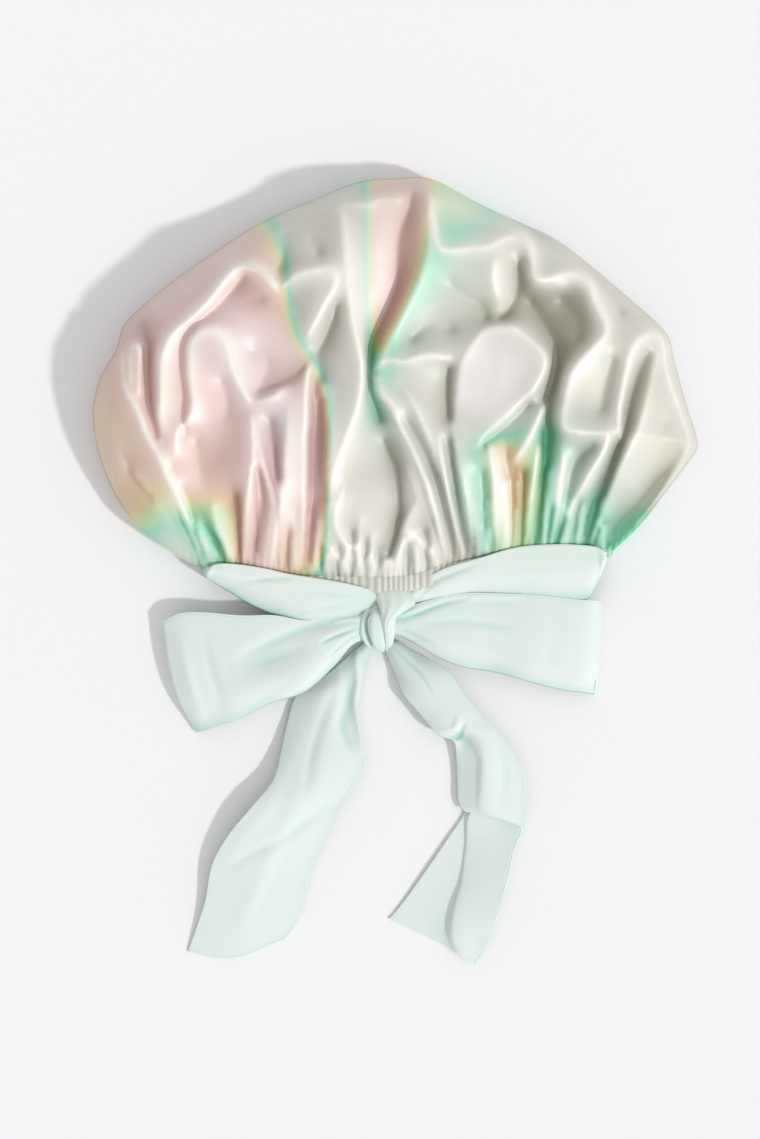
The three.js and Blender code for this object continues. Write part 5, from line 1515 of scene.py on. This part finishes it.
# %% The right loop's rows
RIGHT_LOOP = [
    [(378, 618, 12), (381, 624, 14), (382, 630, 13), (384, 636, 10)],
    [(391, 617, 14), (393, 624, 15.5), (394, 630, 14.5), (395, 634, 11)],
    [(405, 609, 15), (408, 621, 17), (409, 631, 16), (410, 640, 12)],
    [(429, 601, 16), (434, 620, 18), (436, 640, 17.5), (438, 657, 13)],
    [(463, 594, 16), (465, 620, 18), (465, 646, 17), (464, 667, 13)],
    [(500, 594, 15), (499, 622, 17), (497, 650, 16), (495, 672, 12)],
    [(540, 596, 15), (538, 630, 17), (534, 662, 16), (531, 682, 13)],
    [(575, 600, 14), (573, 634, 15.5), (568, 668, 14), (564, 690, 10.5)],
    [(591, 601, 13), (589, 636, 13.5), (585, 672, 12), (582, 692, 8)],
]
RIGHT_END = [(600, 602, 10), (599, 636, 10), (597, 668, 8), (594, 694, 4)]
RIGHT_RETURN = [
    [(586, 606, 4.5), (584, 636, 3.5), (580, 666, 2), (577, 686, 1)],
    [(530, 602, 6), (528, 630, 4.5), (525, 656, 3), (522, 674, 2.2)],
    [(465, 603, 8), (465, 624, 7), (464, 642, 6), (462, 658, 5)],
    [(410, 616, 10), (411, 623, 9.5), (411, 630, 9), (412, 637, 8.5)],
    [(386, 624, 10), (387, 627, 9.5), (388, 630, 9), (388, 633, 8.5)],
]
RIGHT_LOOP_FOLDS = [
    (-1.5, 1.6, [(394, 620), (411, 616), (440, 605), (466, 598)]),
    (1.0, 2.2, [(400, 616), (429, 604), (463, 597), (520, 597)]),
    (-1.3, 1.4, [(390, 629), (408, 632), (432, 644)]),
    (-1.0, 3.5, [(420, 625), (460, 622), (510, 628)]),
    (1.0, 4.0, [(430, 640), (480, 650), (550, 672)]),
    (-0.4, 5.0, [(556, 612), (553, 646), (545, 676)]),
]
print("right loop,", len(RIGHT_LOOP), "rows on top")

# %% [markdown]
# The return of each loop can't be seen. It lies beneath the top, a little smaller, and both are bunched
# at the knot. Top and return are one grid, so that the cloth really turns at the outer end. What is
# folded under lies inside the loop: below the top, and above the return.

# %% Loops of the bow
LOOP_COLUMNS = 44
LOOP_ROWS = 150
LOOP_GAP = 0.8 * MM
TURN_DROP_MM = 2.2
TURN_LEAST_MM = 1.4

strips = {}


def add_loop(body, top, end, back, folds):
    """One loop, out from the knot, round its outer end, and back below."""
    top_grid = rows_to_grid([*top, end], LOOP_ROWS, LOOP_COLUMNS)
    turn = np.maximum(np.asarray(end, float) - (0, 0, TURN_DROP_MM), (0, 0, TURN_LEAST_MM))
    back_grid = rows_to_grid([end, turn, *back], LOOP_ROWS, LOOP_COLUMNS)[2:]
    cloth = np.concatenate([press(top_grid, folds), back_grid])
    inward = down(len(cloth)) * np.where(np.arange(len(cloth)) < LOOP_ROWS, 1, -1)[:, None]
    piece = crepe_piece(body + "_crepe", tuck(cloth, inward, LOOP_GAP, layers=1.0), LOOP_COLUMNS)
    strips[body] = (piece, strip_length(cloth), cloth)
    print(body, "strip length", strips[body][1].round(3))


add_loop("loop_left", LEFT_LOOP, LEFT_END, LEFT_RETURN, LEFT_LOOP_FOLDS)
add_loop("loop_right", RIGHT_LOOP, RIGHT_END, RIGHT_RETURN, RIGHT_LOOP_FOLDS)

# %% [markdown]
# The tails leave the knot below the loops. The left one lies in one long sweep, with a narrow flap turned
# over near the knot.

# %% The left tail's rows
LEFT_TAIL = [
    [(366, 642, 2.5), (369, 644, 3), (373, 646, 2.5)],
    [(350, 655, 2.2), (359, 656, 4), (367, 660, 2.5)],
    [(325, 676, 1.8), (344, 680, 5.5), (361, 684, 3.5)],
    [(297, 694, 2.2), (327, 698, 7), (357, 714, 5)],
    [(287, 722, 3.5), (324, 724, 9.5), (361, 745, 7)],
    [(281, 749, 6), (320, 754, 12), (364, 764, 8.5)],
    [(273, 779, 10), (312, 782, 13.5), (350, 790, 9)],
    [(252, 806, 13), (292, 810, 13.5), (336, 806, 8)],
    [(230, 832, 11), (272, 840, 11.5), (326, 834, 7)],
    [(212, 864, 8), (258, 868, 9), (312, 862, 5)],
    [(205, 900, 5), (252, 902, 6), (303, 900, 3)],
    [(197, 925, 2.5), (244, 930, 3.5), (296, 922, 1.5)],
    [(188, 951, 0.8), (233, 957, 1.2), (285, 938, 0.8)],
]
LEFT_TAIL_FOLDS = [
    (-2.0, 4.6, [(348, 668), (347, 700), (345, 722), (349, 738)]),
    (-1.2, 3.0, [(340, 712), (342, 730), (350, 746)]),
    (2.0, 2.4, [(356, 650), (358, 680), (355, 704), (359, 730), (362, 752)]),
    (-0.9, 3.4, [(232, 868), (246, 858), (270, 846), (298, 828), (326, 808)]),
    (0.8, 5.0, [(300, 720), (290, 760), (262, 812), (232, 850)]),
    (-1.2, 3.5, [(334, 690), (316, 740), (306, 790)]),
    (0.8, 5.0, [(300, 800), (270, 860), (240, 930)]),
]
print("left tail,", len(LEFT_TAIL), "rows")

# %% [markdown]
# The right tail is folded across itself where it changes direction: the strip runs down, turns under, and
# comes out again from below. The rows follow the strip through that fold.

# %% The right tail's rows
RIGHT_TAIL = [
    [(380, 640, 2.5), (383, 640, 3.2), (386, 640, 3.2), (389, 640, 2.5)],
    [(386, 652, 3), (391, 649, 5), (396, 645, 5), (400, 642, 3)],
    [(396, 676, 5), (403, 670, 8.5), (411, 662, 8.5), (419, 655, 5)],
    [(404, 695, 9), (416, 690, 12.5), (431, 680, 12.5), (446, 671, 9)],
    [(419, 713, 10), (434, 709, 13.5), (449, 701, 13.5), (463, 694, 10)],
    [(438, 734, 10.5), (449, 729, 14), (465, 724, 14), (484, 719, 10)],
    [(454, 742, 7), (462, 738, 7), (478, 736, 13), (498, 733, 10)],
    [(456, 760, 4), (474, 758, 9), (486, 758, 13.5), (514, 756, 9)],
    [(457, 780, 3.5), (475, 781, 8.5), (487, 781, 12.5), (524, 776, 8)],
    [(458, 799, 4), (474, 806, 8), (488, 808, 10.5), (525, 812, 7.5)],
    [(464, 811, 5), (480, 814, 7.5), (496, 817, 8.8), (524, 827, 6)],
    [(466, 806, 3.8), (482, 806, 4.8), (500, 808, 5.4), (519, 816, 4.2)],
    [(464, 798, 2.8), (480, 796, 3.8), (498, 798, 4.2), (514, 806, 3.2)],
    [(465, 812, 1.4), (471, 814, 2.2), (474, 814, 4.4), (521, 830, 3.0)],
    [(445, 842, 1.4), (465, 846, 1.6), (470, 846, 3.6), (514, 848, 7.0)],
    [(424, 872, 1.2), (459, 880, 1.4), (465, 880, 4.2), (507, 880, 8.6)],
    [(405, 899, 1.0), (450, 908, 1.2), (457, 910, 5.6), (497, 914, 8.0)],
    [(394, 913, 0.8), (442, 932, 0.9), (455, 936, 6.0), (486, 946, 5.0)],
    [(389, 918, 0.7), (441, 943, 0.8), (460, 955, 4.6), (475, 964, 3.0)],
]
RIGHT_TAIL_FOLDS = [
    (-1.4, 1.4, [(393, 646), (404, 658), (416, 670), (430, 690)]),
    (1.4, 2.0, [(432, 728), (444, 731), (454, 728), (459, 716)]),
    (-2.0, 1.6, [(446, 739), (458, 737), (464, 724)]),
    (-0.6, 4.0, [(500, 745), (505, 775), (502, 804)]),
]
print("right tail,", len(RIGHT_TAIL), "rows")

# %% [markdown]
# A tail lies on the table, and the rest of its width is folded under its left edge. Its points aren't
# spaced evenly across the strip: they keep the spacing of the traced ones, which are close together in
# the narrow folds.

# %% Tails of the bow
TAIL_COLUMNS = 60
TAIL_ROWS = 230
TAIL_GAP = 0.7 * MM
TAIL_LEAST_Z = 0.5 * MM


def add_tail(body, rows, folds):
    """One tail, from below the knot to its free end."""
    cloth = press(rows_to_grid(rows, TAIL_ROWS, TAIL_COLUMNS, evenly=False), folds)
    cloth[..., 2] = np.maximum(cloth[..., 2], TAIL_LEAST_Z)
    folded = tuck(cloth[:, ::-1], down(len(cloth)), TAIL_GAP, layers=1.0)
    piece = crepe_piece(body + "_crepe", folded, TAIL_COLUMNS)
    strips[body] = (piece, strip_length(cloth), cloth)
    print(body, "strip length", strips[body][1].round(3))


add_tail("tail_left", LEFT_TAIL, LEFT_TAIL_FOLDS)
add_tail("tail_right", RIGHT_TAIL, RIGHT_TAIL_FOLDS)

# %% [markdown]
# The knot is a strand of the sash that comes over the top from the right, turns down the front, and is
# pulled in under the loops. Bunched crepe is round with long creases, so each turn of it is a soft roll
# with a wavy section. One strand shows in front, one behind its left side, and the others fill the middle
# and the right side behind it.

# %% Knot
ROLL_SIDES = 40
ROLL_STEPS = 60
ROLL_TWIST = 2.2
ROLL_UNDERSIDE_SHADE = 0.75
ROLL_SHADE_FADE = 9 * MM
ROLL_LEAST_SHADE = 0.1
ROLLS = [
    [(390, 587, 15.5, 10.5, 2.6), (394, 595, 18.2, 11.6, 3.6), (396.5, 604, 20.0, 10.6, 4.4),
     (391.5, 613, 20.4, 6.4, 4.6), (387, 621, 19.6, 3.4, 4.4), (387, 635, 17.0, 2.0, 4.0),
     (387, 652, 10.0, 1.2, 3.0)],
    [(380, 607, 13.5, 1.8, 2.2), (377, 614, 15.8, 3.7, 3.6), (376, 621, 17.4, 5.0, 4.4),
     (377, 632, 17.0, 5.2, 4.4), (379, 642, 15.0, 4.7, 4.0), (382, 652, 10.5, 3.2, 3.0)],
    [(372, 606, 12, 3.0, 3.0), (365, 618, 13.0, 2.4, 3.6), (364, 633, 12.5, 2.4, 3.6),
     (371, 648, 9.5, 2.2, 3.0)],
    [(380, 600, 10, 5.0, 5.0), (380, 615, 11, 8.0, 6.0), (380, 632, 11.5, 7.0, 6.0),
     (381, 648, 10.5, 4.0, 3.6)],
    [(394, 600, 14, 4.0, 3.5), (392, 618, 14.5, 2.6, 3.6), (391, 632, 13.0, 2.4, 3.6),
     (389, 648, 10, 2.0, 3.0)],
]
ROLL_WAVES = [
    (9, 0.06, 0.4), (5, 0.05, 0.3), (3, 0.10, 2.0), (5, 0.08, 0.0), (3, 0.08, 1.6),
]


def roll_grid(points, waves):
    """A closed roll along a path, with a half width and a half height in mm at each point.

    `waves` says how many creases go round it, how deep they are, and where the first one lies.
    """
    points = np.asarray(points, float)
    path = spline(np.column_stack([spots(points[:, :3]), points[:, 3:] * MM]), ROLL_STEPS)
    ahead = np.gradient(path[:, :3], axis=0)
    ahead /= np.linalg.norm(ahead, axis=1)[:, None]
    side = np.tile((-1.0, 0, 0), (ROLL_STEPS, 1))
    up = np.cross(side, ahead)
    up /= np.linalg.norm(up, axis=1)[:, None]
    number, depth, phase_at_start = waves
    turn = np.linspace(0, 2 * math.pi, ROLL_SIDES, endpoint=False)[None]
    along = np.linspace(0, 1, ROLL_STEPS)[:, None]
    wavy = 1 + depth * np.cos(number * turn + phase_at_start + ROLL_TWIST * along)
    # Both ends of the roll are rounded off
    ends = np.clip(np.sqrt(np.maximum(1 - (2 * along - 1) ** 6, 0)), 0.05, 1)
    across = (np.cos(turn) * wavy * ends * path[:, 3:4])[..., None] * side[:, None]
    height = (np.sin(turn) * wavy * ends * path[:, 4:5])[..., None] * up[:, None]
    return path[:, None, :3] + across + height


knot_pieces = []
for number, (points, waves) in enumerate(zip(ROLLS, ROLL_WAVES)):
    grid = roll_grid(points, waves)
    low = grid.min(1, keepdims=True)[..., 2]
    # Painted shade on the lower side of each roll, fading toward its top, with a little of it everywhere
    crease = np.clip(ROLL_UNDERSIDE_SHADE - (grid[..., 2] - low) / ROLL_SHADE_FADE, ROLL_LEAST_SHADE, 1)
    roll = grid_mesh(f"knot_roll_{number}", grid, closed=True, attributes={"crease": crease})
    knot_pieces.append(roll)
with bpy.context.temp_override(active_object=knot_pieces[0], selected_editable_objects=knot_pieces):
    bpy.ops.object.join()
knot = knot_pieces[0]
knot.name = "knot_crepe"
print("knot,", len(knot.data.polygons), "faces")

# %% [markdown]
# The raw edges of the sash are overlocked: a dense row of thread wraps the edge. It shows in the
# photograph as a fine, slightly bumpy line. Each edge that shows gets one long thread whose thickness
# rises and falls with every stitch, laid along the edge of its cloth.

# %% Overlocked edges
EDGE_RADIUS = 0.5 * MM
EDGE_PITCH = 1.5 * MM
EDGE_STEP = 0.42 * MM
EDGE_THIN = 0.8
EDGE_BUMP = 0.35
EDGE_CLEAR = 1.15
HIDDEN_ROWS = 24


def overlock(name, seams):
    """Thread along each line of points, kept just above the table."""
    lines, radii = [], []
    for seam in seams:
        steps = np.linalg.norm(np.diff(seam, axis=0), axis=1).sum()
        line = even(seam, int(steps / EDGE_STEP))
        along = np.arange(len(line)) * EDGE_STEP
        bump = EDGE_THIN + EDGE_BUMP * np.abs(np.sin(math.pi * along / EDGE_PITCH))
        line[:, 2] = np.maximum(line[:, 2], EDGE_RADIUS * EDGE_CLEAR)
        lines.append(line)
        radii.append(EDGE_RADIUS * bump)
    return threads(name, lines, radii)


edges = {}
for body, (_, _, cloth) in strips.items():
    if body.startswith("loop"):
        edges[body] = overlock("edge_" + body, [cloth[:, 0]])
    else:
        edges[body] = overlock("edge_" + body, [cloth[HIDDEN_ROWS:, -1], cloth[-1]])

# %% [markdown]
# Crepe is spun with a hard twist, so its surface is matt and slightly grainy. It is thin and pale, and
# light that passes into a fold comes back greener. That is why the creases near the knot look teal. Here
# that is painted shade: the depth of each fold was stored on the cloth as it was made, and it mixes the
# open green with a deeper green of painted shade.

# %% Crepe
CREPE_OPEN = (*linear(0.87, 0.905, 0.885), 1)
CREPE_PAINTED_SHADE = (*linear(0.68, 0.85, 0.80), 1)
GRAIN_SCALE = 900.0

crepe, tree, shader = new_finish("sash_crepe", Roughness=0.85, Sheen_Weight=0.15, Specular_IOR_Level=0.15)
# Painted shade: the deeper green where the cloth lies in a fold or near the knot
tint = mix(tree, attribute(tree, "crease"), CREPE_OPEN, CREPE_PAINTED_SHADE)
tree.links.new(tint, shader.inputs["Base Color"])
place = add_node(tree, "TexCoord").outputs["Object"]
grain = add_node(tree, "TexNoise", Vector=place, Scale=GRAIN_SCALE, Detail=2.0).outputs["Fac"]
add_bump(tree, shader, grain, strength=0.25, distance=0.4 * MM)
print("crepe,", len(tree.nodes), "nodes")

# %% [markdown]
# Sewing thread and woven elastic are twisted or crossed yarns. A wave texture gives both their fine
# slanting bands, in colour and as bump. The satin's thread is the smoothest of the three, and the elastic
# the roughest.

# %% Threads and elastic
TWIST_SCALE = 900.0
TWIST_SHADE = 0.86
TWIST_EDGE = 0.6


def thread_finish(name, color, roughness):
    """Twisted thread: fine slanting bands along it."""
    finish, tree, shader = new_finish(name, Roughness=roughness)
    place = add_node(tree, "TexCoord").outputs["Object"]
    twist = add_node(tree, "TexWave", Vector=place, Scale=TWIST_SCALE, Distortion=1.0).outputs["Fac"]
    paint = ramp(tree, twist, [(0.0, tuple(TWIST_SHADE * c for c in color)), (TWIST_EDGE, color)])
    tree.links.new(paint, shader.inputs["Base Color"])
    add_bump(tree, shader, twist, strength=0.3, distance=0.2 * MM)
    return finish


satin_thread = thread_finish("satin_thread", linear(0.93, 0.91, 0.90), 0.5)
edging_thread = thread_finish("edging_thread", linear(0.90, 0.96, 0.945), 0.7)
elastic_finish = thread_finish("woven_elastic", linear(0.93, 0.93, 0.92), 0.8)
print("threads:", satin_thread.name, edging_thread.name, elastic_finish.name)

# %% [markdown]
# Each piece is told which body it moves with, which imported solids it stands for, and which finish it
# wears. The pieces that go round the mouth only have their placement baked in, and the others ride on one
# body. The stitching under the back stays as it was imported and only gets its thread.

# %% Hand the pieces over
def hand_over(piece, finish, nodes, body=None):
    """Without a body, the piece goes round the mouth and only has its placement baked in."""
    piece.data.materials.clear()
    piece.data.materials.append(finish)
    if body:
        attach(piece, body)
    else:
        open_with_mouth(piece)
    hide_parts(*nodes)
    print(piece.name, "stands for", ", ".join(nodes))


hand_over(casing, satin, ["casing_front", "casing_back"])
hand_over(elastic, elastic_finish, ["elastic_band"])
hand_over(stitches, satin_thread, ["casing_stitching_front", "casing_stitching_back"])
hand_over(sash, crepe, ["sash_back", "sash_band_left", "sash_band_right"])
hand_over(knot, crepe, ["knot_wrap", "knot_core"], "front")
for body, (piece, _, _) in strips.items():
    hand_over(piece, crepe, [body], body)
for body, edge in edges.items():
    ends = ["_upper", "_lower"] if body.startswith("loop") else [""]
    hand_over(edge, edging_thread, [body + "_edging" + end for end in ends], body)

sash_stitching = bpy.data.objects["sash_stitching"]
sash_stitching.data.materials.clear()
sash_stitching.data.materials.append(edging_thread)

# %% [markdown]
# Each strip of crepe has a flat size, that of its cloth when it is ironed flat. The width is that of the
# strip, and the length was measured along it while it was built. Both are printed here.

# %% Flat sizes of the crepe
for body, (piece, length, _) in strips.items():
    print(piece.name, "flat size", CREPE_WIDTH, "x", length.round(3))
